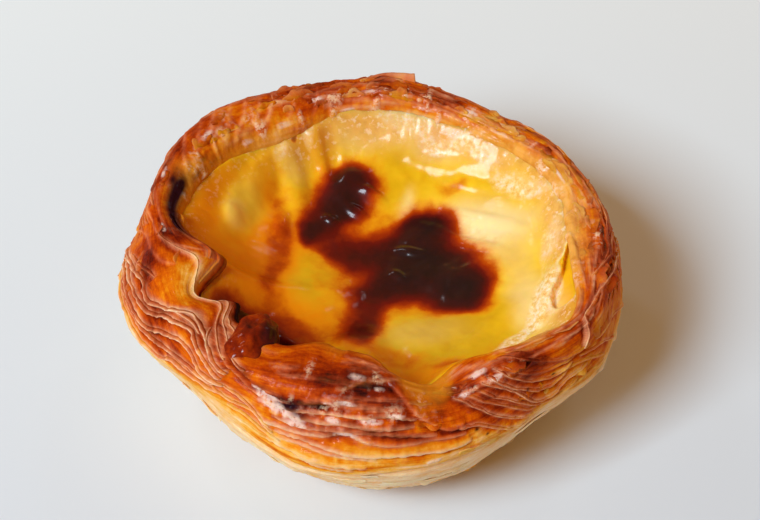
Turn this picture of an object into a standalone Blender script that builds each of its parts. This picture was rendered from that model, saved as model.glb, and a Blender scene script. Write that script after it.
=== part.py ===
"""Portuguese custard tart: a hand-pressed case of laminated pastry with a sunken baked custard.

Metres, +Z up. The origin is the middle of the flat base, which rests on Z = 0.
Directions round the tart are in degrees, anticlockwise from +X, seen from above.
"""

import math
from collections import namedtuple

import bmesh
import bpy

# Driving dimensions of the tart.
BASE_RADIUS = 0.0240  # flat underside that sat on the floor of the tin
BELLY_RADIUS = 0.0363  # widest line of the wall, just under the rim
BELLY_HEIGHT = 0.0180
CREST_RADIUS = 0.0336  # highest line of the rim
CREST_HEIGHT = 0.0270
LIP_RADIUS = 0.0296  # inner edge of the rim
LIP_HEIGHT = 0.0256
BASE_EDGE_ROUND = 0.0012  # soft corner between the base and the wall
LIP_ROUND = 0.0012  # how far the lip rolls down before it meets the inner wall
LIP_UNDERCUT = 0.0005
LIP_SHARE = 7 / 8  # place of the lip along the outline of the wall
CASE_THICKNESS = 0.0042  # pastry between the tin and the custard, low on the wall
FLOOR_THICKNESS = 0.0038  # pastry under the custard

CUSTARD_EDGE_DROP = 0.0030  # custard skin below the inner edge of the rim
CUSTARD_CENTRE_HEIGHT = 0.0158  # lowest point of the sunken custard
CUSTARD_BOWL_POWER = 2.2  # how flat the bottom of the sunken surface is
SKIN_WAVE = 0.0005  # height of the slow waves in the skin
SKIN_PLEAT = 0.0006  # height of the pleats where the skin clings to the case
RIM_LUMP = 0.00028  # unevenness of the hand-pressed rim
FIT_GAP = 0.0003  # clearance between the custard and the case
SLANTED_GAP = 1.3 * FIT_GAP  # the same clearance, measured along a radius where the wall leans
CAVITY_FOOT_OUT = 0.0015  # how far the round foot of the cavity reaches towards the wall
CAVITY_BELLY = 0.0012  # how far the inner wall bows outwards half-way down

# Where the outline of the wall passes, as shares of the flare, of the fold and of the heights.
LOW_WALL = (0.42, 0.30)
HIGH_WALL = (0.84, 0.68)
SHOULDER = (0.58, 0.72)
INNER_CREST = (0.30, 0.10)

# Slow waves that the skin sets in, where the custard rose and fell back in the oven.
WAVE_LENGTHS = (0.0040, 0.0052)
WAVE_SLANTS = (0.6, 0.5)
PLEAT_COUNT = 13

# Leaves of the laminated pastry that stand out as steps round the wall and rim.
LEAF_COUNT = 11
LEAF_STEP = 0.0010  # how far a leaf's edge stands proud of the groove under it
LEAF_GROOVE = 0.15  # where, in each leaf's width, its groove, its edge and its back lie
LEAF_EDGE = 0.60
LEAF_BACK = 0.80

DIRECTIONS = 90  # columns of faces round the tart
INNER_WALL_ROWS = 3
CUSTARD_RINGS = 9

# A swell adds to a size round one direction: where, how wide, in degrees, and how much, in metres.
Swell = namedtuple("Swell", "direction spread amount")

BASE_SWELLS = [Swell(285, 40, 0.0022), Swell(200, 40, -0.0010)]
BELLY_SWELLS = [
    Swell(0, 30, 0.0019),
    Swell(184, 20, 0.0020),  # leaves fan out on this side
    Swell(234, 16, -0.0018),  # the rim was pinched in here
    Swell(328, 14, 0.0012),
]
# The wall draws in under the fan of leaves, most at this share of its outline.
TUCK_SWELLS = [Swell(214, 15, 0.0022)]
TUCK_SHARE, TUCK_REACH = 0.30, 0.13
BELLY_LIFTS = [Swell(186, 22, -0.0006), Swell(232, 18, 0.0010)]
CREST_SWELLS = [
    Swell(10, 22, 0.0012),
    Swell(90, 22, 0.0009),
    Swell(145, 22, 0.0019),
    Swell(127, 13, 0.0011),
    Swell(190, 26, -0.0034),
    Swell(262, 34, -0.0038),
    Swell(332, 16, 0.0022),
]
CREST_LIFTS = [
    Swell(84, 13, 0.0017),
    Swell(104, 12, 0.0011),
    Swell(127, 12, 0.0006),
    Swell(143, 20, 0.0014),
    Swell(255, 20, 0.0008),
    Swell(288, 8, -0.0014),  # dip in the front edge
    Swell(308, 10, 0.0008),
    Swell(345, 20, -0.0008),
]
LIP_SWELLS = [
    Swell(30, 16, 0.0016),
    Swell(120, 16, -0.0010),
    Swell(182, 22, -0.0036),
    Swell(212, 12, -0.0014),
    Swell(244, 18, -0.0032),  # the front edge is folded in over the custard
    Swell(280, 18, -0.0022),
    Swell(332, 14, 0.0036),
]
LIP_LIFTS = [
    Swell(90, 20, 0.0006),
    Swell(120, 14, -0.0014),
    Swell(255, 20, 0.0010),
    Swell(288, 8, -0.0010),
]
# The leaves stand furthest apart where the rim fans out, and lie closest at the back.
LEAF_FANS = [Swell(195, 28, 0.9), Swell(335, 26, 0.3), Swell(95, 40, -0.4)]
# The custard skin climbs the case on some sides and sinks away on others.
SKIN_LIFTS = [Swell(20, 40, 0.0012), Swell(100, 30, 0.0006), Swell(215, 34, -0.0030)]
# The skin hangs in pleats where it clings to the inner wall.
PLEATED_SIDE = [Swell(145, 34, 1.0)]


def swollen(size, swells, angle):
    """The size with every swell added, in the direction angle, in degrees."""
    for swell in swells:
        turn = (angle - swell.direction + 180) % 360 - 180
        size += swell.amount * math.exp(-((turn / swell.spread) ** 2))
    return size


def wall_outline(angle):
    """Radius and height of the points that shape one cut through the case, base to lip."""
    base = swollen(BASE_RADIUS, BASE_SWELLS, angle)
    belly = swollen(BELLY_RADIUS, BELLY_SWELLS, angle)
    belly_height = swollen(BELLY_HEIGHT, BELLY_LIFTS, angle)
    crest = swollen(CREST_RADIUS, CREST_SWELLS, angle)
    crest_height = swollen(CREST_HEIGHT, CREST_LIFTS, angle)
    lip = swollen(LIP_RADIUS, LIP_SWELLS, angle)
    lip_height = swollen(LIP_HEIGHT, LIP_LIFTS, angle)
    flare = belly - base
    fold = crest - lip
    rise = crest_height - belly_height
    return [
        (base, BASE_EDGE_ROUND),
        (base + LOW_WALL[0] * flare, LOW_WALL[1] * belly_height),
        (base + HIGH_WALL[0] * flare, HIGH_WALL[1] * belly_height),
        (belly, belly_height),
        (belly + SHOULDER[0] * (crest - belly), belly_height + SHOULDER[1] * rise),
        (crest, crest_height),
        (lip + INNER_CREST[0] * fold, crest_height - INNER_CREST[1] * (crest_height - lip_height)),
        (lip, lip_height),
        (lip + LIP_UNDERCUT, lip_height - LIP_ROUND),
    ]


def spline(points, share):
    """The point a share of the way along a smooth curve through the points."""
    spans = len(points) - 1
    place = min(max(share, 0.0), 1.0) * spans
    span = min(int(place), spans - 1)
    t = place - span
    before = points[max(span - 1, 0)]
    start, end = points[span], points[span + 1]
    after = points[min(span + 2, spans)]
    return tuple(
        0.5
        * (
            2 * b
            + (c - a) * t
            + (2 * a - 5 * b + 4 * c - d) * t**2
            + (3 * b - a - 3 * c + d) * t**3
        )
        for a, b, c, d in zip(before, start, end, after)
    )


def outward(points, share):
    """The unit direction, as radius and height, that faces out of the pastry there."""
    nudge = 0.01
    ahead = spline(points, share + nudge)
    behind = spline(points, share - nudge)
    run, rise = ahead[0] - behind[0], ahead[1] - behind[1]
    length = math.hypot(run, rise)
    return rise / length, -run / length


def leaf_place(angle, share):
    """Where a leaf's line lies at this direction: it wanders up and down the wall."""
    turn = math.radians(angle)
    wander = 0.016 * math.sin(3 * turn + 1.3 + 5 * share)
    wander += 0.010 * math.sin(7 * turn + 0.4 - 7 * share)
    fade = math.sin(math.pi * min(max(share, 0.0), 1.0))
    return share + wander * fade


def leaf_step(angle, share):
    """How far a leaf's edge stands proud: most where the leaves fan out, least at both ends."""
    ends = min(1.0, 0.30 + 1.5 * share) * min(1.0, 0.35 + 3.0 * (1.0 - share))
    return LEAF_STEP * ends * swollen(1.0, LEAF_FANS, angle)


def rim_lump(angle, share):
    """The unevenness that hands pressing the dough into the tin leave in the rim."""
    turn = math.radians(angle)
    lump = math.sin(5 * turn + 2.0 + 3 * share) + 0.8 * math.sin(9 * turn - 1.0 - 4 * share)
    lump += 0.5 * math.sin(14 * turn + 0.7 + 6 * share)
    return RIM_LUMP * lump * math.sin(math.pi * share) ** 0.5 * share


def tuck(angle, share):
    """How far the wall draws in under the fan of leaves."""
    near = math.exp(-(((share - TUCK_SHARE) / TUCK_REACH) ** 2)) * min(1.0, 8 * share)
    return swollen(0.0, TUCK_SWELLS, angle) * near


def wall_section(angle):
    """One cut through the outside of the case, from the base edge over the rim, leaf by leaf."""
    points = wall_outline(angle)
    section = [spline(points, 0.0)]
    for leaf in range(LEAF_COUNT):
        for place, proud in ((LEAF_GROOVE, -0.5), (LEAF_EDGE, 0.4), (LEAF_BACK, 0.5)):
            along = leaf_place(angle, (leaf + place) / LEAF_COUNT)
            share = LIP_SHARE * along
            radius, height = spline(points, share)
            out_r, out_z = outward(points, share)
            step = proud * leaf_step(angle, along) + rim_lump(angle, along) - tuck(angle, share)
            section.append((radius + step * out_r, height + step * out_z))
    section.append(spline(points, LIP_SHARE))
    section.append(spline(points, 1.0))
    return section


def skin_edge(angle):
    """Radius and height where the custard skin meets the case."""
    lip = swollen(LIP_RADIUS, LIP_SWELLS, angle)
    lip_height = swollen(LIP_HEIGHT, LIP_LIFTS, angle)
    drop = CUSTARD_EDGE_DROP - swollen(0.0, SKIN_LIFTS, angle)
    return lip + 2 * LIP_UNDERCUT, lip_height - drop


def cavity_foot(angle):
    """Radius where the inner wall of the case meets its floor."""
    return swollen(BASE_RADIUS, BASE_SWELLS, angle) - CASE_THICKNESS + CAVITY_FOOT_OUT


def cavity_section(angle):
    """The inner wall of the case, from just under the lip down to the floor."""
    top = skin_edge(angle)
    foot = (cavity_foot(angle), FLOOR_THICKNESS)
    section = [top]
    for row in range(1, INNER_WALL_ROWS + 1):
        share = row / INNER_WALL_ROWS
        belly_out = CAVITY_BELLY * math.sin(math.pi * share)
        radius = top[0] + (foot[0] - top[0]) * share + belly_out
        height = top[1] + (foot[1] - top[1]) * share
        section.append((radius, height))
    return section


def custard_height(angle, share):
    """Height of the sunken custard skin, at a share of the way from its middle to its edge."""
    edge_radius, edge_height = skin_edge(angle)
    bowl = share**CUSTARD_BOWL_POWER
    turn = math.radians(angle)
    x, y = edge_radius * share * math.cos(turn), edge_radius * share * math.sin(turn)
    wave = math.sin((x + WAVE_SLANTS[0] * y) / WAVE_LENGTHS[0])
    wave *= math.sin((y - WAVE_SLANTS[1] * x) / WAVE_LENGTHS[1])
    wave *= SKIN_WAVE * math.sin(math.pi * share)
    pleat = SKIN_PLEAT * math.cos(PLEAT_COUNT * turn) * swollen(0.0, PLEATED_SIDE, angle) * share**3
    return CUSTARD_CENTRE_HEIGHT + (edge_height - CUSTARD_CENTRE_HEIGHT) * bowl + wave + pleat


def custard_section(angle):
    """One cut through the custard, from near the middle of its skin, over the edge and down."""
    edge_radius = skin_edge(angle)[0] - FIT_GAP
    section = []
    for ring in range(1, CUSTARD_RINGS + 1):
        share = ring / CUSTARD_RINGS
        section.append((edge_radius * share, custard_height(angle, share)))
    for radius, height in cavity_section(angle)[1:]:
        section.append((radius - SLANTED_GAP, height + SLANTED_GAP))
    return section


def lofted(name, section_of, first_pole, last_pole, material):
    """A closed solid from one cut per direction, closed by a point at each end of the cuts."""
    mesh = bmesh.new()
    columns = []
    for column in range(DIRECTIONS):
        angle = 360 * column / DIRECTIONS
        across, along = math.cos(math.radians(angle)), math.sin(math.radians(angle))
        columns.append([mesh.verts.new((r * across, r * along, z)) for r, z in section_of(angle)])
    start = mesh.verts.new((0, 0, first_pole))
    end = mesh.verts.new((0, 0, last_pole))
    for column, this in enumerate(columns):
        following = columns[(column + 1) % DIRECTIONS]
        mesh.faces.new((start, following[0], this[0]))
        for row in range(len(this) - 1):
            mesh.faces.new((this[row], following[row], following[row + 1], this[row + 1]))
        mesh.faces.new((this[-1], following[-1], end))
    bmesh.ops.recalc_face_normals(mesh, faces=mesh.faces)
    data = bpy.data.meshes.new(name)
    mesh.to_mesh(data)
    mesh.free()
    data.shade_smooth()
    data.set_sharp_from_angle(angle=math.radians(50))
    data.materials.append(material)
    solid = bpy.data.objects.new(name, data)
    bpy.context.scene.collection.objects.link(solid)
    return solid


def finish(name, colour, roughness):
    """A plain food material."""
    material = bpy.data.materials.new(name)
    material.use_nodes = True
    shader = material.node_tree.nodes["Principled BSDF"]
    shader.inputs["Base Color"].default_value = (*colour, 1.0)
    shader.inputs["Roughness"].default_value = roughness
    shader.inputs["Metallic"].default_value = 0.0
    return material


def case_section(angle):
    """The whole outside of the case in one direction: base edge, wall, rim, inner wall."""
    base = swollen(BASE_RADIUS, BASE_SWELLS, angle)
    return [(base - BASE_EDGE_ROUND, 0.0), *wall_section(angle), *cavity_section(angle)]


def clear_scene():
    """Removes whatever the file opened with."""
    for found in list(bpy.data.objects):
        bpy.data.objects.remove(found)


def main():
    """Builds the case and the custard, both parented to one empty at the origin."""
    clear_scene()
    tart = bpy.data.objects.new("tart", None)
    bpy.context.scene.collection.objects.link(tart)
    pastry = finish("browned_pastry", (0.60, 0.26, 0.06), 0.45)
    custard_skin = finish("custard_skin", (0.86, 0.52, 0.06), 0.25)
    case = lofted("pastry_case", case_section, 0.0, FLOOR_THICKNESS, pastry)
    custard = lofted(
        "custard",
        custard_section,
        CUSTARD_CENTRE_HEIGHT,
        FLOOR_THICKNESS + SLANTED_GAP,
        custard_skin,
    )
    for piece in (case, custard):
        piece.parent = tart


main()
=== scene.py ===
"""The looks of a portuguese custard tart: leafy browned pastry round a scorched, glossy custard.

Metres, +Z up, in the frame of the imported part. Directions round the tart are in degrees,
anticlockwise from +X, seen from above. A share runs from 0 at the base edge of the case,
up the wall and over the rim, to 1 just under the lip.
"""

import logging
import math
from dataclasses import dataclass
from enum import Enum
from typing import NamedTuple

import bpy
import numpy as np
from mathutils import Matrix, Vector


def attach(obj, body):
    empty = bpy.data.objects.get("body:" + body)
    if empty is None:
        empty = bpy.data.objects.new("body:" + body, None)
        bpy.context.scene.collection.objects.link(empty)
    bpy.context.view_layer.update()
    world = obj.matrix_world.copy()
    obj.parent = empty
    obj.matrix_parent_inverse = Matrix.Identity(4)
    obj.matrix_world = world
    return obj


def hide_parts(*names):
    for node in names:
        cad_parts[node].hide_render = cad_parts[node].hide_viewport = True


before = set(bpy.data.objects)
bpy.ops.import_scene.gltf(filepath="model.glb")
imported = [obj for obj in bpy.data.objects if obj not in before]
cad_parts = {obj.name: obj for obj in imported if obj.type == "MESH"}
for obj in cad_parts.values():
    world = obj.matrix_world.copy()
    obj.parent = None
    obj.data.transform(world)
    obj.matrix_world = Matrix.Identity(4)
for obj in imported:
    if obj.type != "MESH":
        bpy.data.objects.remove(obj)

LOG = logging.getLogger("tart")
BODY = "root"
Array = np.ndarray

MM = 0.001
PER_METRE = 1000.0
FULL_TURN = 360.0

# How near two points are sewn into one, and the side of a new grid before it is shaped.
SEAM = 1e-7
GRID_SIDE = 0.05

# The radius of the plain ring that the pastry's noise is read on.
NOISE_RING = 0.034

# What the leaves mark on each vertex of the pastry, for the finish to read. The groove mark is painted
# shade under the edges; the edge, puffed and glint marks are painted highlights, the edge one on paler
# dough.
MARKS = ("edge", "groove", "puffed", "crumb", "glint")


class Slot(Enum):
    """Material slot names for the pastry and the custard."""

    PASTRY = "pastry"
    CUSTARD = "custard"


class Swell(NamedTuple):
    """A rise or fall of some size round one direction."""

    direction: float
    spread: float
    amount: float


class Patch(NamedTuple):
    """A soft spot on the pastry: a direction and a share, how far it reaches each way, how strong."""

    direction: float
    share: float
    spread: float
    reach: float
    amount: float


class Spot(NamedTuple):
    """A soft oval spot on the custard: its middle, half length, half width, turn and strength."""

    x: float
    y: float
    length: float
    width: float
    turn: float
    amount: float


def each(kind: type, *rows: tuple) -> list:
    """One of a kind for each row of values."""
    return [kind(*row) for row in rows]


def away(angle: Array, direction: float) -> Array:
    """Degrees from a direction, the short way round."""
    half = FULL_TURN / 2
    return (angle - direction + half) % FULL_TURN - half


def swollen(size: float, swells: list[Swell], angle: Array) -> Array:
    """A size with its swells added.

    Args:
        size: the size where nothing swells.
        swells: what is added to it round each direction.
        angle: directions, in degrees.

    Returns:
        The size in each direction.
    """
    total = np.full_like(angle, size)
    for swell in swells:
        total = total + swell.amount * np.exp(-((away(angle, swell.direction) / swell.spread) ** 2))
    return total


def patched(patches: list[Patch], angle: Array, share: Array) -> Array:
    """The sum of soft spots over the pastry.

    Args:
        patches: the spots.
        angle: directions, in degrees.
        share: shares of the way from base edge to lip.

    Returns:
        How strong the spots are together at each place.
    """
    total = np.zeros(np.broadcast(angle, share).shape)
    for patch in patches:
        turn = away(angle, patch.direction) / patch.spread
        climb = (share - patch.share) / patch.reach
        total = total + patch.amount * np.exp(-(turn**2) - climb**2)
    return total


def spotted(spots: list[Spot], x: Array, y: Array) -> Array:
    """The sum of soft oval spots over the custard.

    Args:
        spots: the spots, with sizes in millimetres.
        x: places across, in metres.
        y: places front to back, in metres.

    Returns:
        How strong the spots are together at each place.
    """
    total = np.zeros_like(x)
    for spot in spots:
        turn = math.radians(spot.turn)
        across, along = x * PER_METRE - spot.x, y * PER_METRE - spot.y
        u = (across * math.cos(turn) + along * math.sin(turn)) / spot.length
        v = (along * math.cos(turn) - across * math.sin(turn)) / spot.width
        total = total + spot.amount * np.exp(-((u**2 + v**2) ** 1.5))
    return total


def covered(spots: list[Spot], x: Array, y: Array) -> Array:
    """How far soft oval spots cover each place between them, never more than wholly.

    Args:
        spots: the spots, with sizes in millimetres.
        x: places across, in metres.
        y: places front to back, in metres.

    Returns:
        The cover at each place, from 0 to 1.
    """
    bare = np.ones_like(x)
    for spot in spots:
        bare = bare * (1.0 - np.clip(spotted([spot], x, y), 0.0, 1.0))
    return 1.0 - bare


def smooth_step(low: float, high: float, value: Array) -> Array:
    """0 below low, 1 above high, and a smooth ramp between."""
    t = np.clip((value - low) / (high - low), 0.0, 1.0)
    return t * t * (3.0 - 2.0 * t)


class Grain:
    """Smooth noise in space that is the same on every run."""

    CELLS = 32
    # Keeps the lattice's own points off the middle of the tart.
    OFFSET = 7.31

    def __init__(self, seed: int) -> None:
        """Fills the lattice of random values."""
        self.table = np.random.default_rng(seed).random((self.CELLS,) * 3)

    def __call__(self, points: Array, size: float) -> Array:
        """Noise from -1 to 1.

        Args:
            points: places, with x, y and z last.
            size: how far apart the noise's rises are, in the same units.

        Returns:
            One value for each point.
        """
        scaled = points / size + self.OFFSET
        cell = np.floor(scaled).astype(int)
        t = scaled - cell
        t = t * t * (3.0 - 2.0 * t)
        value = np.zeros(points.shape[:-1])
        for corner in range(8):
            step = np.array([corner & 1, corner >> 1 & 1, corner >> 2 & 1])
            at = (cell + step) % self.CELLS
            weight = np.prod(np.where(step == 1, t, 1.0 - t), axis=-1)
            value += weight * self.table[at[..., 0], at[..., 1], at[..., 2]]
        return value * 2.0 - 1.0

    def rough(self, points: Array, size: float, layers: int = 3) -> Array:
        """Several sizes of noise together, each half as large and half as strong as the last."""
        return sum(self(points, size / 2**n) / 2**n for n in range(layers))


def round_tart(radius: Array, height: Array, angle: Array) -> Array:
    """Points in space from a radius, a height and a direction in degrees."""
    turn = np.radians(angle)
    return np.stack([radius * np.cos(turn), radius * np.sin(turn), height + 0 * turn], axis=-1)


def through(a: Array, b: Array, c: Array, d: Array, t: Array) -> Array:
    """A smooth curve, t of the way from b to c, that comes from a and goes on to d."""
    curve = 2 * b + (c - a) * t + (2 * a - 5 * b + 4 * c - d) * t**2
    return 0.5 * (curve + (3 * b - a - 3 * c + d) * t**3)


def noise_place(angle: Array, up: Array) -> Array:
    """Places on a plain ring, where noise is read so that it runs round with no seam."""
    return round_tart(np.full_like(angle, NOISE_RING), up, angle)


@dataclass
class CaseForm:
    """The smooth form under the leaves: rings round the case, each with its swells."""

    base_radius: float = 0.0240
    belly_radius: float = 0.0363
    belly_height: float = 0.0180
    crest_radius: float = 0.0336
    crest_height: float = 0.0270
    lip_radius: float = 0.0296
    lip_height: float = 0.0256
    base_round: float = 0.0012
    lip_round: float = 0.0012
    lip_undercut: float = 0.0005
    rim_lump: float = 0.00028
    custard_drop: float = 0.0030

    BASE = each(Swell, (285, 40, 0.0022), (200, 40, -0.0010))
    BELLY = each(
        Swell,
        (0, 30, 0.0019), (183, 20, 0.0016), (234, 16, -0.0018), (330, 14, 0.0010),
    )
    BELLY_LIFT = each(Swell, (186, 22, -0.0006), (232, 18, 0.0010))
    CREST = each(
        Swell,
        (10, 22, 0.0012), (90, 22, 0.0009), (145, 22, 0.0019), (127, 13, 0.0013), (168, 10, 0.0006),
        (190, 26, -0.0034), (262, 34, -0.0038), (332, 16, 0.0022),
    )
    CREST_LIFT = each(
        Swell,
        (84, 13, 0.0017), (104, 12, 0.0011), (127, 12, 0.0007), (143, 20, 0.0013), (255, 20, 0.0008),
        (288, 8, -0.0014), (308, 10, 0.0008), (345, 20, -0.0008),
    )
    LIP = each(
        Swell,
        (30, 16, 0.0016), (120, 16, -0.0010), (189, 11, -0.0070), (213, 6, -0.0046), (230, 14, -0.0048),
        (252, 10, -0.0068), (268, 10, -0.0055), (298, 11, -0.0028), (332, 14, 0.0033),
    )
    LIP_LIFT = each(
        Swell,
        (90, 20, 0.0006), (120, 14, -0.0014), (196, 16, -0.0012), (255, 20, 0.0008), (284, 7, -0.0016),
    )
    SKIN_LIFT = each(
        Swell,
        (20, 40, 0.0012), (100, 30, 0.0006), (180, 16, 0.0010), (218, 24, -0.0030),
    )

    def lip(self, angle: Array) -> tuple[Array, Array]:
        """Radius and height of the inner edge of the rim."""
        radius = swollen(self.lip_radius, self.LIP, angle)
        return radius, swollen(self.lip_height, self.LIP_LIFT, angle)

    def skin_edge(self, angle: Array) -> tuple[Array, Array]:
        """Radius and height of the line where the custard's skin meets the case."""
        radius, height = self.lip(angle)
        drop = self.custard_drop - swollen(0.0, self.SKIN_LIFT, angle)
        return radius + 2 * self.lip_undercut, height - drop

    def outline(self, angle: Array) -> Array:
        """The points that shape one cut through the case.

        Args:
            angle: directions, in degrees, in one row.

        Returns:
            Nine radius and height pairs for each direction, base edge to lip.
        """
        base = swollen(self.base_radius, self.BASE, angle)
        belly = swollen(self.belly_radius, self.BELLY, angle)
        waist = swollen(self.belly_height, self.BELLY_LIFT, angle)
        crest = swollen(self.crest_radius, self.CREST, angle)
        top = swollen(self.crest_height, self.CREST_LIFT, angle)
        lip, lip_height = self.lip(angle)
        flare, fold = belly - base, crest - lip
        # Base edge, lower wall, upper wall, belly, shoulder, crest, fold, lip and under the lip.
        points = [
            (base, np.full_like(base, self.base_round)),
            (base + 0.42 * flare, 0.30 * waist),
            (base + 0.84 * flare, 0.68 * waist),
            (belly, waist),
            (0.42 * belly + 0.58 * crest, 0.28 * waist + 0.72 * top),
            (crest, top),
            (lip + 0.30 * fold, top - 0.10 * (top - lip_height)),
            (lip, lip_height),
            (lip + self.lip_undercut, lip_height - self.lip_round),
        ]
        return np.stack([np.stack(point, axis=-1) for point in points], axis=1)

    def place(self, angle: Array, share: Array) -> Array:
        """Radius and height on the smooth form.

        Args:
            angle: one direction for each column, in degrees.
            share: shares of the way from base edge to lip, a row for each column.

        Returns:
            Radius and height for each share.
        """
        points = self.outline(angle)
        spans = points.shape[1] - 1
        run = np.clip(share, 0.0, 1.0) * spans
        span = np.minimum(run.astype(int), spans - 1)
        t = (run - span)[..., None]

        def near(step: int) -> Array:
            """The outline's point a few steps from the start of the span."""
            at = np.clip(span + step, 0, spans)[..., None].repeat(2, axis=-1)
            return np.take_along_axis(points, at, axis=1)

        return through(near(-1), near(0), near(1), near(2), t)

    def along(self, angle: Array, share: Array) -> Array:
        """The unit direction, as radius and height, that climbs the form there."""
        nudge = 0.012
        run = self.place(angle, share + nudge) - self.place(angle, share - nudge)
        return run / np.linalg.norm(run, axis=-1, keepdims=True)

    def lump(self, angle: Array, share: Array) -> Array:
        """The unevenness that pressing the dough into the tin by hand leaves in the rim.

        Args:
            angle: one direction for each column, in degrees.
            share: shares, a row for each column.

        Returns:
            How far the surface stands out, in metres.
        """
        turn = np.radians(angle)[:, None]
        lump = np.sin(5 * turn + 2.0 + 3 * share) + 0.8 * np.sin(9 * turn - 1.0 - 4 * share)
        lump = lump + 0.5 * np.sin(14 * turn + 0.7 + 6 * share)
        held = np.clip(share, 0.0, 1.0)
        return self.rim_lump * lump * np.sin(np.pi * held) ** 0.5 * held


class LeafEdge(NamedTuple):
    """The edge of one leaf.

    Its course is directions and shares, and the leaf lies on the course's left. Rise is how far
    the edge stands out in millimetres, and pale how much lighter the edge is painted than the leaf's
    face, as paler dough with a painted highlight on it. Stand is how much of a free tip the edge has,
    none at 0.
    """

    rise: float
    pale: float
    course: list[tuple[float, float]]
    stand: float = 0.0


# The fan on the left, whose leaves spread like pages, lowest leaf first.
FAN_EDGES = each(
    LeafEdge,
    (0.9, 0.8, [(174, 0.380), (182, 0.394), (195, 0.400), (205, 0.402), (210, 0.412), (214, 0.436),
                (222, 0.440), (231, 0.430)]),
    (0.8, 0.8, [(176, 0.395), (184, 0.418), (197, 0.425), (205, 0.437), (213, 0.457), (219, 0.466),
                (231, 0.455)]),
    (0.9, 0.9, [(175, 0.405), (182, 0.430), (193, 0.434), (202, 0.446), (208, 0.478), (214, 0.516),
                (219, 0.540), (222, 0.512), (225, 0.478), (232, 0.464)]),
    (1.0, 1.0, [(173, 0.410), (180, 0.444), (191, 0.456), (200, 0.476), (205, 0.512), (209, 0.556),
                (214, 0.604), (218, 0.622), (222, 0.585), (226, 0.538), (231, 0.482)]),
    (1.0, 1.0, [(171, 0.410), (177, 0.440), (183, 0.464), (191, 0.490), (197, 0.494), (202, 0.524),
                (206, 0.565), (210, 0.630), (214, 0.664), (221, 0.655), (226, 0.612), (229, 0.565),
                (232, 0.510)]),
    (0.35, 0.5, [(179, 0.460), (184, 0.482), (188, 0.508), (194, 0.548)]),
    (0.45, 0.8, [(208, 0.580), (211, 0.620), (216, 0.645), (220, 0.636)]),
)

# Where the fan's leaves and those from the lip gather and run on round the front.
GATHERED_EDGES = each(
    LeafEdge,
    (0.55, 0.6, [(178, 0.600), (183, 0.635), (188, 0.680), (193, 0.725), (199, 0.760), (206, 0.775),
                 (213, 0.760), (219, 0.720), (225, 0.665), (231, 0.600)]),
    (0.5, 0.8, [(208, 0.830), (213, 0.800), (219, 0.755), (225, 0.705), (231, 0.645), (237, 0.580)]),
    (0.4, 0.6, [(214, 0.820), (219, 0.785), (224, 0.745), (229, 0.700)]),
    (0.6, 1.0, [(220, 0.690), (224, 0.632), (228, 0.575), (231, 0.515)]),
    (0.5, 0.9, [(222, 0.650), (225, 0.600), (228, 0.550), (230, 0.510)]),
    (0.6, 0.8, [(229, 0.468), (236, 0.456), (241, 0.440), (246, 0.416)]),
    (0.5, 0.8, [(228, 0.444), (235, 0.430), (241, 0.432), (247, 0.405)]),
    (0.4, 0.7, [(233, 0.405), (238, 0.412), (244, 0.402), (249, 0.392)]),
    (0.4, 0.7, [(234, 0.372), (240, 0.382), (247, 0.374)]),
)

# The thin stacked leaves in front, top to bottom.
FRONT_EDGES = each(
    LeafEdge,
    (0.6, 0.3, [(224, 0.740), (228, 0.655), (232, 0.575), (236, 0.515), (241, 0.484), (246, 0.466)]),
    (0.6, 0.1, [(229, 0.720), (232, 0.640), (236, 0.570), (240, 0.524), (245, 0.500), (250, 0.480)]),
    (0.9, 0.3, [(239, 0.512), (246, 0.504), (250, 0.493), (255, 0.512), (260, 0.532), (266, 0.550),
                (272, 0.553), (278, 0.556)]),
    (0.5, 0.6, [(252, 0.500), (258, 0.512), (264, 0.520), (271, 0.515), (277, 0.520)]),
    (0.6, 0.9, [(246, 0.472), (253, 0.480), (260, 0.488), (267, 0.486), (274, 0.494), (281, 0.484)]),
    (0.6, 0.9, [(249, 0.462), (256, 0.463), (263, 0.467), (271, 0.462), (280, 0.468)]),
    (0.7, 0.6, [(246, 0.446), (254, 0.446), (262, 0.452), (272, 0.450), (285, 0.442)]),
    (0.5, 1.0, [(244, 0.428), (251, 0.430), (258, 0.436), (264, 0.445), (270, 0.428)]),
    (0.5, 0.4, [(267, 0.438), (274, 0.426), (284, 0.430), (292, 0.428)]),
    (0.7, 0.8, [(247, 0.414), (254, 0.419), (261, 0.411), (267, 0.402), (276, 0.402), (286, 0.397),
                (293, 0.402)]),
    (0.4, 0.7, [(248, 0.402), (255, 0.404), (264, 0.394), (271, 0.390)]),
    (0.6, 0.6, [(245, 0.382), (252, 0.378), (260, 0.368), (269, 0.362)]),
    (0.4, 0.8, [(253, 0.360), (259, 0.352), (266, 0.346)]),
    (0.8, 0.2, [(274, 0.650), (277, 0.585), (279, 0.535), (283, 0.480), (287, 0.452), (292, 0.446)]),
)

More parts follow.
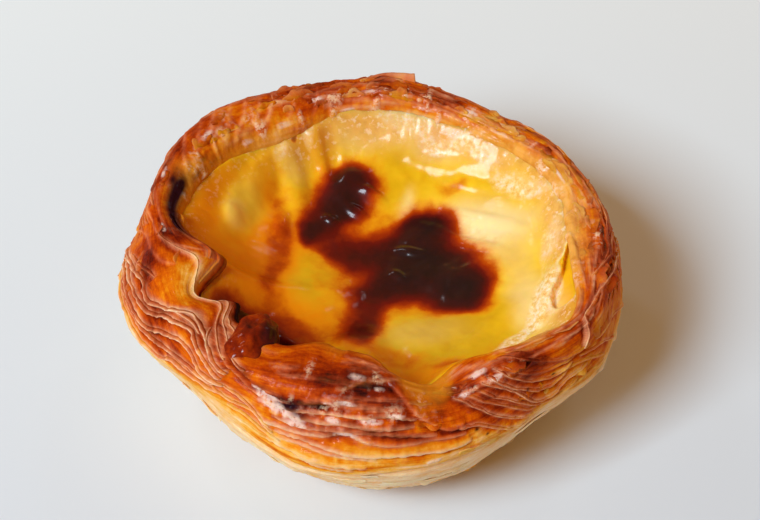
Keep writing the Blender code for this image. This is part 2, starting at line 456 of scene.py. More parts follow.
# The lobe at the right of the front, whose leaves swing down and up again, bottom to top.
LOBE_EDGES = each(
    LeafEdge,
    (0.7, 0.8, [(290, 0.446), (294, 0.444), (298, 0.418), (303, 0.385), (309, 0.372)]),
    (0.6, 0.8, [(290, 0.575), (292, 0.545), (295, 0.490), (299, 0.448), (304, 0.414), (310, 0.388)]),
    (0.5, 0.5, [(293, 0.565), (296, 0.512), (301, 0.466), (306, 0.428), (311, 0.398)]),
    (0.6, 0.6, [(295, 0.590), (298, 0.528), (302, 0.480), (306, 0.446), (311, 0.412), (317, 0.405),
                (323, 0.418)]),
    (0.7, 0.8, [(297, 0.610), (300, 0.555), (304, 0.496), (308, 0.446), (312, 0.423), (316, 0.424),
                (320, 0.444), (327, 0.440)]),
    (0.6, 0.7, [(299, 0.625), (302, 0.548), (306, 0.492), (310, 0.462), (315, 0.452), (321, 0.472)]),
    (0.6, 0.7, [(301, 0.655), (304, 0.570), (308, 0.512), (312, 0.485), (316, 0.475), (322, 0.486)]),
    (0.4, 0.4, [(303, 0.640), (307, 0.560), (312, 0.515), (318, 0.502), (325, 0.496)]),
    (0.5, 0.3, [(304, 0.690), (309, 0.620), (314, 0.560), (320, 0.524), (328, 0.500)]),
    (0.4, 0.5, [(318, 0.476), (324, 0.464), (329, 0.436), (333, 0.410)]),
    (0.5, 0.6, [(324, 0.484), (331, 0.466), (336, 0.430), (340, 0.400)]),
    (0.5, 0.6, [(330, 0.494), (338, 0.476), (344, 0.440), (350, 0.400)]),
    (0.4, 0.5, [(312, 0.392), (319, 0.396), (326, 0.408), (333, 0.390)]),
)

# The thin inner edge of the case on the left, which hangs over the custard.
LIP_EDGES = each(
    LeafEdge,
    (1.00, 0.1, [(236, 0.860), (226, 0.865), (216, 0.870), (208, 0.868), (200, 0.868), (192, 0.872),
                 (184, 0.866), (176, 0.850), (169, 0.830)]),
    (0.45, 0.5, [(200, 0.800), (193, 0.815), (186, 0.805), (179, 0.785), (172, 0.765)]),
    (0.40, 0.5, [(192, 0.770), (185, 0.765), (178, 0.742), (171, 0.720)]),
)

# The outer sheets on the right, whose edges stand up: their leaves lie below their edges.
RIGHT_EDGES = each(
    LeafEdge,
    (0.8, 0.7, [(12, 0.420), (2, 0.475), (-6, 0.545), (-14, 0.610), (-21, 0.668), (-28, 0.695),
                (-31, 0.640), (-33, 0.560), (-35, 0.512)]),
    (0.5, 0.5, [(20, 0.470), (8, 0.520), (-4, 0.590), (-10, 0.640), (-15, 0.700)]),
    (0.6, 0.3, [(50, 0.600), (34, 0.610), (20, 0.605), (9, 0.598), (0, 0.606), (-7, 0.624),
                (-12, 0.660)]),
)

# The root of the one flake that stands clear of the crest at the back, and how far its line
# wavers, in millimetres.
CREST_FLAKE = LeafEdge(
    1.40, 0.4, [(93, 0.628), (89, 0.630), (85, 0.632), (81, 0.633), (77.5, 0.634)], 1.0
)
CREST_FLAKE_WAVER = 0.15

# The whorl at the upper left, whose thin leaves sweep from the crest in towards the custard.
WHORL_EDGES = each(
    LeafEdge,
    (0.20, 0.20, [(104, 0.600), (105, 0.670), (106, 0.740), (109, 0.800)]),
    (0.24, 0.30, [(110, 0.570), (112, 0.650), (113, 0.720), (117, 0.780)]),
    (0.27, 0.35, [(115, 0.560), (117, 0.640), (119, 0.700), (124, 0.765), (128, 0.800)]),
    (0.20, 0.25, [(118, 0.590), (121, 0.660), (124, 0.715), (129, 0.770)]),
    (0.27, 0.30, [(121, 0.560), (125, 0.650), (128, 0.705), (133, 0.760), (136, 0.830)]),
    (0.20, 0.25, [(126, 0.580), (130, 0.660), (134, 0.720), (138, 0.780)]),
    (0.27, 0.30, [(128, 0.550), (134, 0.640), (139, 0.700), (142, 0.770), (142, 0.850)]),
    (0.20, 0.20, [(134, 0.570), (139, 0.640), (144, 0.690), (149, 0.740)]),
    (0.27, 0.30, [(138, 0.540), (144, 0.620), (150, 0.680), (155, 0.740), (158, 0.830)]),
    (0.20, 0.20, [(145, 0.540), (151, 0.610), (157, 0.655), (163, 0.680)]),
    (0.27, 0.25, [(152, 0.500), (159, 0.580), (166, 0.625), (175, 0.650), (182, 0.700)]),
    (0.27, 0.30, [(160, 0.470), (168, 0.540), (176, 0.580), (183, 0.630), (187, 0.700), (189, 0.780)]),
    (0.27, 0.20, [(168, 0.440), (175, 0.500), (182, 0.545), (189, 0.590), (193, 0.650)]),
    (0.27, 0.20, [(160, 0.800), (167, 0.770), (174, 0.765), (181, 0.790), (187, 0.830), (192, 0.800)]),
)


@dataclass
class Leaves:
    """The leaves of the pastry: the edges drawn above, and more of them where the back is plain.

    On the chart, in millimetres, fall is how soon a leaf thins away from its edge, drop how steep
    the edge is, taper how long its ends are, and step how far apart the places of a course are.
    Groove and lean are shares of the edge's rise. Most rise is what no leaf stands out beyond, in
    millimetres. The rest are reliefs in metres: blisters, crumbs, the lenses under the painted
    glints, streaks, buckles.
    """

    form: CaseForm
    fall: float = 1.3
    drop: float = 0.16
    groove: float = 0.35
    lean: float = 0.45
    taper: float = 2.2
    step: float = 0.25
    most_rise: float = 0.9
    blister: float = 0.00030
    crumble: float = 0.00034
    lens: float = 0.00016
    streak: float = 0.00008
    buckle: float = 0.00018

    # Millimetres of arc at each of nine evenly spaced shares, base edge to lip.
    ARC = (0.0, 6.7, 15.3, 21.4, 28.1, 30.9, 33.7, 35.5, 36.8)
    # Millimetres of the chart to one degree round the case.
    DEGREE = 0.60
    # How far each kind of edge wavers, in millimetres, and the finer waver that all of them have.
    DRAWN_WAVER = 0.05
    PLAIN_WAVER = 0.30
    LOOSE_WAVER = 0.12
    FLAKE_WAVER = 0.10
    FINE_WAVER = 0.045
    # Straight steps between two places of an edge, before its course is spaced evenly.
    CURVE_STEPS = 24
    # About how many places along one flake are kept.
    FLAKE_PLACES = 11

    # Where the skin of the dough has blistered.
    BLISTERED = each(
        Patch,
        (266, 0.62, 16, 0.10, 1.0), (300, 0.60, 16, 0.06, 0.6), (-2, 0.660, 9, 0.04, 1.0),
        (90, 0.75, 46, 0.10, 1.0), (60, 0.90, 50, 0.14, 1.0), (5, 0.88, 30, 0.14, 1.0),
        (262, 0.50, 16, 0.03, 0.9), (148, 0.78, 24, 0.10, 1.0),
    )
    # Where the top leaf has crazed into short loose edges.
    CRAZED = each(
        Patch,
        (20, 0.70, 40, 0.16, 1.0), (80, 0.70, 44, 0.16, 1.0), (140, 0.66, 26, 0.08, 0.4),
        (264, 0.66, 14, 0.16, 1.0), (300, 0.64, 16, 0.14, 0.8), (335, 0.66, 18, 0.12, 0.7),
    )
    # Where the leaves are thick and crumbly.
    CRUMBLY = each(
        Patch,
        (262, 0.495, 15, 0.060, 1.0), (282, 0.480, 10, 0.040, 0.9), (264, 0.620, 10, 0.070, 0.45),
        (247, 0.470, 5, 0.026, 1.2), (296, 0.610, 9, 0.070, 0.9), (262, 0.385, 22, 0.020, 0.5),
        (300, 0.400, 14, 0.030, 0.5), (0, 0.650, 14, 0.060, 0.6), (75, 0.740, 50, 0.090, 0.6),
        (150, 0.560, 16, 0.050, 0.5), (146, 0.760, 26, 0.090, 0.7),
    )
    # Where leaves puffed up into small lenses, with white highlights painted on them.
    GLINTS = each(
        Patch,
        (244, 0.492, 3.4, 0.010, 1.1), (247, 0.470, 4.4, 0.009, 1.1), (241, 0.512, 2.0, 0.010, 0.9),
        (252, 0.460, 3.0, 0.005, 0.8), (264, 0.528, 2.6, 0.009, 1.0), (259, 0.522, 1.6, 0.007, 0.7),
        (261, 0.474, 2.0, 0.006, 1.0), (270, 0.479, 2.4, 0.007, 1.0), (276, 0.498, 2.0, 0.006, 0.8),
        (253, 0.448, 3.6, 0.006, 0.9), (264, 0.446, 2.6, 0.006, 0.9), (284, 0.366, 1.8, 0.007, 0.9),
        (290, 0.640, 1.6, 0.020, 0.9), (293, 0.570, 1.4, 0.020, 0.8), (298, 0.660, 2.2, 0.016, 1.0),
        (301, 0.600, 2.0, 0.014, 0.9), (266, 0.640, 3.0, 0.016, 0.6), (272, 0.600, 1.6, 0.014, 0.6),
        (25, 0.740, 4.0, 0.020, 0.7), (48, 0.760, 6.0, 0.014, 0.5), (88, 0.720, 5.0, 0.016, 0.6),
        (60, 0.700, 3.0, 0.014, 0.8), (74, 0.790, 4.0, 0.010, 0.8), (97, 0.830, 3.0, 0.012, 0.8),
        (106, 0.730, 2.6, 0.014, 0.8), (118, 0.790, 3.0, 0.012, 0.8), (131, 0.820, 2.4, 0.014, 0.7),
        (141, 0.700, 2.6, 0.014, 0.7), (150, 0.850, 2.0, 0.016, 0.8), (158, 0.640, 2.0, 0.014, 0.7),
        (170, 0.840, 1.8, 0.020, 0.7), (177, 0.640, 2.0, 0.016, 0.7),
    )
    # Where thin flakes have lifted off, and how densely.
    FLAKY = each(
        Patch,
        (22, 0.62, 40, 0.13, 0.9), (85, 0.64, 44, 0.14, 0.9), (300, 0.58, 14, 0.10, 0.35),
        (262, 0.20, 46, 0.10, 0.6), (330, 0.24, 40, 0.12, 0.3), (60, 0.30, 70, 0.22, 0.6),
        (150, 0.30, 40, 0.20, 0.5),
    )
    # Lists of edges, and how much of a free tip each has.
    STANDS = [
        (FAN_EDGES, 1.0),
        (GATHERED_EDGES, 0.6),
        (FRONT_EDGES, 0.0),
        (LOBE_EDGES, 0.5),
        (RIGHT_EDGES, 0.7),
        (WHORL_EDGES, 0.0),
        (LIP_EDGES, 0.8),
    ]
    # How far the wall draws in, in millimetres, under the fan and under the lobe.
    TUCKED = each(Patch, (214, 0.30, 15, 0.13, 2.6), (313, 0.28, 17, 0.13, 1.7))

    def __post_init__(self) -> None:
        """Sets up the noise and collects the edges."""
        self.wander = Grain(11)
        self.tear = Grain(12)
        self.edges = []
        for drawn, stand in self.STANDS:
            for edge in drawn:
                self.edges.append((edge._replace(stand=stand), self.course(edge, self.DRAWN_WAVER)))
        self.edges += [(edge, self.course(edge, self.PLAIN_WAVER)) for edge in self.plain_edges()]
        self.edges += [(edge, self.course(edge, self.LOOSE_WAVER)) for edge in self.loose_edges()]

    def plain_edges(self) -> list[LeafEdge]:
        """More edges round the back and low on the wall, from one rule.

        Returns:
            The edges.
        """
        pick = np.random.default_rng(5)
        edges = []
        # The band at the back runs from the right side round to the left one.
        right, left, most = 348.0, 528.0, 534.0
        for share in np.arange(0.37, 0.605, 0.026):
            start = right + pick.uniform(0, 40)
            while start < left:
                length = pick.uniform(35, 80)
                end = min(start + length, most)
                stretch = np.arange(start, end, 9.0)
                level = share + np.cumsum(pick.normal(0, 0.006, len(stretch)))
                course = list(zip(stretch, level))
                edges.append(LeafEdge(pick.uniform(0.3, 0.8), pick.uniform(0.3, 0.9), course, 0.5))
                start = end - pick.uniform(4, 20)
        # Low on the wall, all the way round.
        for share in np.arange(0.05, 0.34, 0.034):
            start = pick.uniform(0, 60)
            while start < 350.0:
                length = pick.uniform(15, 60)
                stretch = np.arange(start, start + length, 7.0)
                level = share + np.cumsum(pick.normal(0, 0.006, len(stretch)))
                course = list(zip(stretch, level))
                edges.append(LeafEdge(pick.uniform(0.10, 0.38), pick.uniform(0.1, 0.5), course))
                start = start + length + pick.uniform(-8, 30)
        return [edge for edge in edges if len(edge.course) > 2]

    def loose_edges(self) -> list[LeafEdge]:
        """Short edges over the crest and the front flap, where the top leaf has crazed and lifted.

        Returns:
            The edges, some with their leaf above them and some below.
        """
        pick = np.random.default_rng(8)
        edges = []
        for share in np.arange(0.560, 0.870, 0.021):
            start = pick.uniform(0, 12)
            while start < 352.0:
                length = pick.uniform(5, 20)
                stretch = np.arange(start, start + length + 2.0, 2.5)
                slant = pick.normal(0, 0.0022)
                level = share + slant * (stretch - start) + pick.normal(0, 0.0035, len(stretch))
                middle = np.array([start + length / 2])
                strong = patched(self.CRAZED, middle, np.array([share]))[0]
                if pick.uniform() < strong:
                    course = list(zip(stretch, level))
                    turned = course if pick.uniform() < 0.6 else course[::-1]
                    edges.append(LeafEdge(pick.uniform(0.10, 0.30), pick.uniform(0.2, 0.9), turned))
                start = start + length + pick.uniform(0, 10)
        return edges

    def flakes(self) -> list[tuple[LeafEdge, Array]]:
        """Thin flakes over the crest and the wall.

        Returns:
            Each flake's root, with its course on the chart.
        """
        pick = np.random.default_rng(17)
        found = []
        for share in np.arange(0.060, 0.750, 0.019):
            start = pick.uniform(0, 8)
            while start < 356.0:
                low = share < 0.40
                length = pick.uniform(4, 15) if low else pick.uniform(3, 11)
                stretch = np.linspace(start, start + length, 5)
                level = share + pick.normal(0, 0.0030, 5) + pick.normal(0, 0.0016) * (stretch - start)
                middle = np.array([start + length / 2])
                strong = patched(self.FLAKY, middle, np.array([share]))[0]
                if pick.uniform() < strong:
                    course = list(zip(stretch, level))
                    if pick.uniform() < 0.3:
                        course = course[::-1]
                    rise, pale = pick.uniform(0.5, 1.2), pick.uniform(0.0, 0.3)
                    edge = LeafEdge(rise, pale, course, pick.uniform(0.6, 1.2))
                    line = self.course(edge, self.FLAKE_WAVER)
                    found.append((edge, line[:: max(1, len(line) // self.FLAKE_PLACES)]))
                start = start + length * pick.uniform(0.4, 2.2)
        return found

    def chart(self, direction: Array, share: Array) -> Array:
        """Millimetres round and up the case, flattened."""
        up = np.interp(share, np.linspace(0.0, 1.0, len(self.ARC)), self.ARC)
        return np.stack([direction * self.DEGREE, up + 0 * direction], axis=-1)

    def off_chart(self, line: Array) -> tuple[Array, Array]:
        """Directions and shares of places on the chart."""
        shares = np.linspace(0.0, 1.0, len(self.ARC))
        return line[:, 0] / self.DEGREE, np.interp(line[:, 1], self.ARC, shares)

    @staticmethod
    def lifted(line: Array, level: float) -> Array:
        """Places on the chart lifted to a level of their own, so that each edge's noise differs."""
        return np.concatenate([line, np.full((len(line), 1), level)], axis=1)

    def course(self, edge: LeafEdge, waver: float) -> Array:
        """A smooth line through the places of an edge, with a fine waver.

        Args:
            edge: the edge.
            waver: how far it wavers, in millimetres.

        Returns:
            Places on the chart, evenly spaced.
        """
        knots = np.array(edge.course, dtype=float)
        flat = self.chart(knots[:, 0], knots[:, 1])
        ends = np.concatenate([2 * flat[:1] - flat[1:2], flat, 2 * flat[-1:] - flat[-2:-1]])
        fine = []
        for number in range(len(flat) - 1):
            t = np.linspace(0.0, 1.0, self.CURVE_STEPS, endpoint=False)[:, None]
            fine.append(through(*ends[number : number + 4], t))
        line = np.concatenate([*fine, flat[-1:]])
        run = self.run(line)
        even = np.linspace(0.0, run[-1], max(4, int(run[-1] / self.step) + 1))
        line = np.stack([np.interp(even, run, line[:, 0]), np.interp(even, run, line[:, 1])], axis=1)
        place = self.lifted(line, 10.0 * edge.rise)
        sway = waver * self.wander(place, 2.4) + self.FINE_WAVER * self.tear(place, 1.1)
        return line + sway[:, None] * self.sides(line)

    @staticmethod
    def run(line: Array) -> Array:
        """How far along a line each of its places is."""
        return np.concatenate([[0.0], np.cumsum(np.linalg.norm(np.diff(line, axis=0), axis=1))])

    @staticmethod
    def sides(line: Array) -> Array:
        """The unit direction to the left of a line at each of its places."""
        along = np.gradient(line, axis=0)
        along = along / np.maximum(np.linalg.norm(along, axis=1, keepdims=True), 1e-9)
        return np.stack([-along[:, 1], along[:, 0]], axis=1)

    def strength(self, line: Array, rise: float) -> Array:
        """How far an edge stands out along its course: uneven, and thin at its ends.

        Args:
            line: its course on the chart.
            rise: how far it would stand out if it were even, in millimetres.

        Returns:
            Millimetres at each place of the course.
        """
        run = self.run(line)
        ends = np.minimum(run, run[-1] - run) / min(self.taper, 0.5 * run[-1])
        place = self.lifted(line, 20.0 * rise)
        uneven = 0.95 + 0.35 * self.wander(place, 3.5) + 0.22 * self.tear(place, 0.8)
        return rise * np.clip(uneven, 0.25, 1.5) * np.sqrt(np.clip(ends, 0.0, 1.0))

    def relief(self, direction: Array, share: Array) -> dict[str, Array]:
        """How the leaves shape and mark the surface.

        Args:
            direction: directions in degrees, a value for each place.
            share: shares, a value for each place.

        Returns:
            How far out each place stands, in millimetres, its edge mark, lighter as paler dough with a
            painted highlight, and its groove mark, darker as painted shade.
        """
        shape = np.broadcast(direction, share).shape
        flat = self.chart(direction % FULL_TURN + 0 * share, share + 0 * direction).reshape(-1, 2)
        out = np.zeros(len(flat))
        mark = {"edge": np.zeros(len(flat)), "groove": np.zeros(len(flat))}
        turn = FULL_TURN * self.DEGREE
        # Beyond this a leaf adds nothing that would be seen.
        reach = 3.2 * self.fall
        for edge, line in self.edges:
            rise, side = self.strength(line, edge.rise), self.sides(line)
            for shift in (-turn, 0.0, turn):
                low, high = line.min(axis=0) - reach, line.max(axis=0) + reach
                near = (flat[:, 0] + shift > low[0]) & (flat[:, 0] + shift < high[0])
                near = np.flatnonzero(near & (flat[:, 1] > low[1]) & (flat[:, 1] < high[1]))
                if len(near) == 0:
                    continue
                place = flat[near] + (shift, 0.0)
                best = np.full(len(near), 1e9)
                which = np.zeros(len(near), dtype=int)
                for number in range(len(line)):
                    gap = (place[:, 0] - line[number, 0]) ** 2 + (place[:, 1] - line[number, 1]) ** 2
                    closer = gap < best
                    best[closer], which[closer] = gap[closer], number
                offset = place - line[which]
                across = (offset * side[which]).sum(axis=1)
                beside = np.sqrt(np.maximum(best - across**2, 0.0))
                hold = np.exp(-((beside / 0.5) ** 2)) * rise[which]
                face = np.exp(-np.maximum(across, 0.0) / self.fall)
                under = smooth_step(-self.drop, 0.02, across)
                dip = np.exp(-(((across + 0.42) / 0.38) ** 2))
                out[near] += hold * (face * under - self.groove * dip)
                width = 0.20 + 0.10 * edge.stand
                # The edge mark: paler dough along the edge, with a painted highlight.
                lip = np.exp(-(((across - 0.05) / width) ** 2)) * np.clip(hold / 0.35, 0.0, 1.0)
                mark["edge"][near] = np.maximum(mark["edge"][near], lip * edge.pale)
                # Painted shade: the groove under each edge is marked to be darkened.
                groove_shade = dip * np.clip(hold / 0.5, 0.0, 1.0)
                mark["groove"][near] = np.maximum(mark["groove"][near], groove_shade)
        return {"out": out.reshape(shape)} | {key: value.reshape(shape) for key, value in mark.items()}

    def skin(self, angle: Array, share: Array) -> dict[str, Array]:
        """The leafy surface at given places.

        Args:
            angle: one direction for each column, in degrees.
            share: shares, a row for each column.

        Returns:
            Arrays with a row of values for each column: radius, height, share, out and the marks.
        """
        column = angle[:, None] + 0 * share
        skin = self.relief(column, share)
        skin["share"] = share
        rise = self.most_rise * np.tanh(skin["out"] / self.most_rise) * MM
        at = self.form.place(angle, share)
        climb = self.form.along(angle, share)
        ring = noise_place(column, self.chart(column, share)[..., 1] * MM)
        puffed = np.clip(self.tear.rough(ring, 0.0016, 2), 0.0, 1.0) ** 1.5
        puffed = puffed * patched(self.BLISTERED, column, share)
        streaks = self.wander(ring * np.array([0.25, 0.25, 1.0]), 0.0008)
        buckle = self.wander(ring, 0.0045)
        crumb = 0.7 * self.wander(ring * np.array([0.35, 0.35, 1.0]), 0.0009)
        crumb = crumb + 0.5 * self.tear(ring, 0.00065)
        crumb = np.clip(crumb, -1.0, 1.0) * np.clip(patched(self.CRUMBLY, column, share), 0.0, 1.2)
        ragged = np.stack([column, share, 0 * share], axis=-1)
        nudge = 0.9 * self.tear(ragged * (1.0, 60.0, 1.0), 1.1)
        glint = np.clip(patched(self.GLINTS, column + nudge, share + 0.004 * nudge), 0.0, 1.0)
        skin["crumb"], skin["glint"] = crumb, glint
        fine = self.crumble * crumb + self.lens * smooth_step(0.3, 0.7, glint)
        fine = fine + self.blister * puffed + self.streak * streaks
        fine = fine + self.buckle * buckle * np.clip(3 * share, 0, 1)
        out = rise + self.form.lump(angle, share) + fine * np.clip(6 * share, 0, 1)
        out = out - MM * patched(self.TUCKED, column, share) * np.clip(8 * share, 0, 1)
        lean = -self.lean * np.clip(rise, 0.0, None) * skin["edge"]
        skin["puffed"] = puffed
        skin["radius"] = at[..., 0] + out * climb[..., 1] + lean * climb[..., 0]
        skin["height"] = at[..., 1] - out * climb[..., 0] + lean * climb[..., 1]
        return skin


def deselect() -> None:
    """Deselects everything, as each new piece starts with."""
    bpy.ops.object.select_all(action="DESELECT")


def sculpt(piece: bpy.types.Object, points: Array) -> None:
    """Moves each vertex of a piece to its own place.

    Args:
        piece: the mesh object.
        points: a place for each vertex, in the mesh's own order.
    """
    piece.location = (0.0, 0.0, 0.0)
    piece.data.vertices.foreach_set("co", points.reshape(-1).astype(np.float32))
    piece.data.update()


def paint(piece: bpy.types.Object, values: dict[str, Array]) -> None:
    """Stores values for each vertex, for the finish to read.

    Args:
        piece: the mesh object.
        values: by the name the finish calls it, a number or a vector for each vertex.
    """
    for name, value in values.items():
        vector = value.size == 3 * len(piece.data.vertices)
        kind, field = ("FLOAT_VECTOR", "vector") if vector else ("FLOAT", "value")
        attribute = piece.data.attributes.new(name, kind, "POINT")
        attribute.data.foreach_set(field, value.reshape(-1).astype(np.float32))


def wrapped(values: Array) -> Array:
    """A grid of values, rows first, with its first row and column repeated at its end."""
    turned = np.swapaxes(values, 0, 1)
    longer = np.concatenate([turned, turned[:1]], axis=0)
    return np.concatenate([longer, longer[:, :1]], axis=1)


def sew(outward: bool = False) -> None:
    """Merges the doubles of the active piece, faces it outwards if asked, and shades it smooth."""
    bpy.ops.object.mode_set(mode="EDIT")
    bpy.ops.mesh.select_all(action="SELECT")
    bpy.ops.mesh.remove_doubles(threshold=SEAM)
    if outward:
        bpy.ops.mesh.normals_make_consistent(inside=False)
    bpy.ops.object.mode_set(mode="OBJECT")
    bpy.ops.object.shade_smooth()


def ring_piece(name: str, points: Array, values: dict[str, Array]) -> bpy.types.Object:
    """A closed ring: a grid rolled up both ways and sewn, whose cuts are closed loops.

    Args:
        name: the piece's name.
        points: the cuts, each a closed loop of places, one cut for each direction.
        values: what the finish reads, for each place.

    Returns:
        The piece, with its place in its mesh.
    """
    columns, rows = points.shape[:2]
    deselect()
    bpy.ops.mesh.primitive_grid_add(
        x_subdivisions=columns, y_subdivisions=rows, size=GRID_SIDE, calc_uvs=False
    )
    piece = bpy.context.object
    piece.name = name
    sculpt(piece, wrapped(points))
    paint(piece, {key: wrapped(value) for key, value in values.items()})
    sew()
    return piece


class Shade:
    """A material's nodes, added one after another."""

    def __init__(self, name: str) -> None:
        """Starts a material with a Principled shader."""
        self.material = bpy.data.materials.new(name)
        self.material.use_nodes = True
        self.tree = self.material.node_tree
        self.shader = self.tree.nodes["Principled BSDF"]
        self.object_place = self.tree.nodes.new("ShaderNodeTexCoord").outputs["Object"]

    def link(self, source: object, target: object) -> None:
        """Joins an output to an input."""
        self.tree.links.new(source, target)

    def feed(self, target: object, value: object) -> None:
        """Gives an input a constant or another node's output."""
        if isinstance(value, bpy.types.NodeSocket):
            self.link(value, target)
        else:
            target.default_value = value

    def read(self, name: str) -> object:
        """A value painted on the vertices."""
        node = self.tree.nodes.new("ShaderNodeAttribute")
        node.attribute_name = name
        return node.outputs["Fac"]

    def read_vector(self, name: str) -> object:
        """A vector painted on the vertices."""
        node = self.tree.nodes.new("ShaderNodeAttribute")
        node.attribute_name = name
        return node.outputs["Vector"]

    def noise(self, size: float, detail: float, roughness: float, place: object = None) -> object:
        """Noise whose rises are about size metres apart."""
        node = self.tree.nodes.new("ShaderNodeTexNoise")
        node.inputs["Scale"].default_value = 1.0 / size
        node.inputs["Detail"].default_value = detail
        node.inputs["Roughness"].default_value = roughness
        self.link(place or self.object_place, node.inputs["Vector"])
        return node.outputs["Fac"]

    def maths(self, kind: str, first: object, second: object) -> object:
        """One sum on two values."""
        node = self.tree.nodes.new("ShaderNodeMath")
        node.operation = kind
        self.feed(node.inputs[0], first)
        self.feed(node.inputs[1], second)
        return node.outputs[0]

    def plus(self, first: object, second: object) -> object:
        """Two values added."""
        return self.maths("ADD", first, second)

    def times(self, first: object, second: object) -> object:
        """Two values multiplied."""
        return self.maths("MULTIPLY", first, second)

    def spread(
        self, value: object, low: float, high: float, to_low: float = 0.0, to_high: float = 1.0
    ) -> object:
        """A value stretched from one range to another, and held there."""
        node = self.tree.nodes.new("ShaderNodeMapRange")
        node.inputs["From Min"].default_value = low
        node.inputs["From Max"].default_value = high
        node.inputs["To Min"].default_value = to_low
        node.inputs["To Max"].default_value = to_high
        self.link(value, node.inputs["Value"])
        return node.outputs["Result"]

    def ramp(self, value: object, stops: list[tuple[float, str]]) -> object:
        """Colours along a value."""
        node = self.tree.nodes.new("ShaderNodeValToRGB")
        elements = node.color_ramp.elements
        while len(elements) < len(stops):
            elements.new(0.5)
        for element, (place, colour) in zip(elements, stops):
            element.position = place
            element.color = shade_of(colour)
        self.link(value, node.inputs["Fac"])
        return node.outputs["Color"]

    def mix(self, share: object, first: object, second: object) -> object:
        """Two colours mixed."""
        node = self.tree.nodes.new("ShaderNodeMix")
        node.data_type = "RGBA"
        self.feed(node.inputs["Factor"], share)
        for socket, value in (("A", first), ("B", second)):
            target = [s for s in node.inputs if s.name == socket and s.type == "RGBA"][0]
            self.feed(target, shade_of(value) if isinstance(value, str) else value)
        return [s for s in node.outputs if s.type == "RGBA"][0]

    def bump(self, height: object, distance: float, strength: float, onto: object = None) -> object:
        """A fine relief, on top of another where one is given."""
        node = self.tree.nodes.new("ShaderNodeBump")
        node.inputs["Strength"].default_value = strength
        node.inputs["Distance"].default_value = distance
        self.link(height, node.inputs["Height"])
        if onto is not None:
            self.link(onto, node.inputs["Normal"])
        return node.outputs["Normal"]

    def set(self, **values: object) -> None:
        """Sets or links the shader's own inputs, named with _ for each space."""
        for name, value in values.items():
            self.feed(self.shader.inputs[name.replace("_", " ")], value)


def shade_of(colour: str) -> tuple[float, float, float, float]:
    """A screen colour, as #RRGGBB, in the linear light that nodes work in."""
    parts = [int(colour[at : at + 2], 16) / 255 for at in (1, 3, 5)]
    linear = [p / 12.92 if p <= 0.04045 else ((p + 0.055) / 1.055) ** 2.4 for p in parts]
    return (*linear, 1.0)


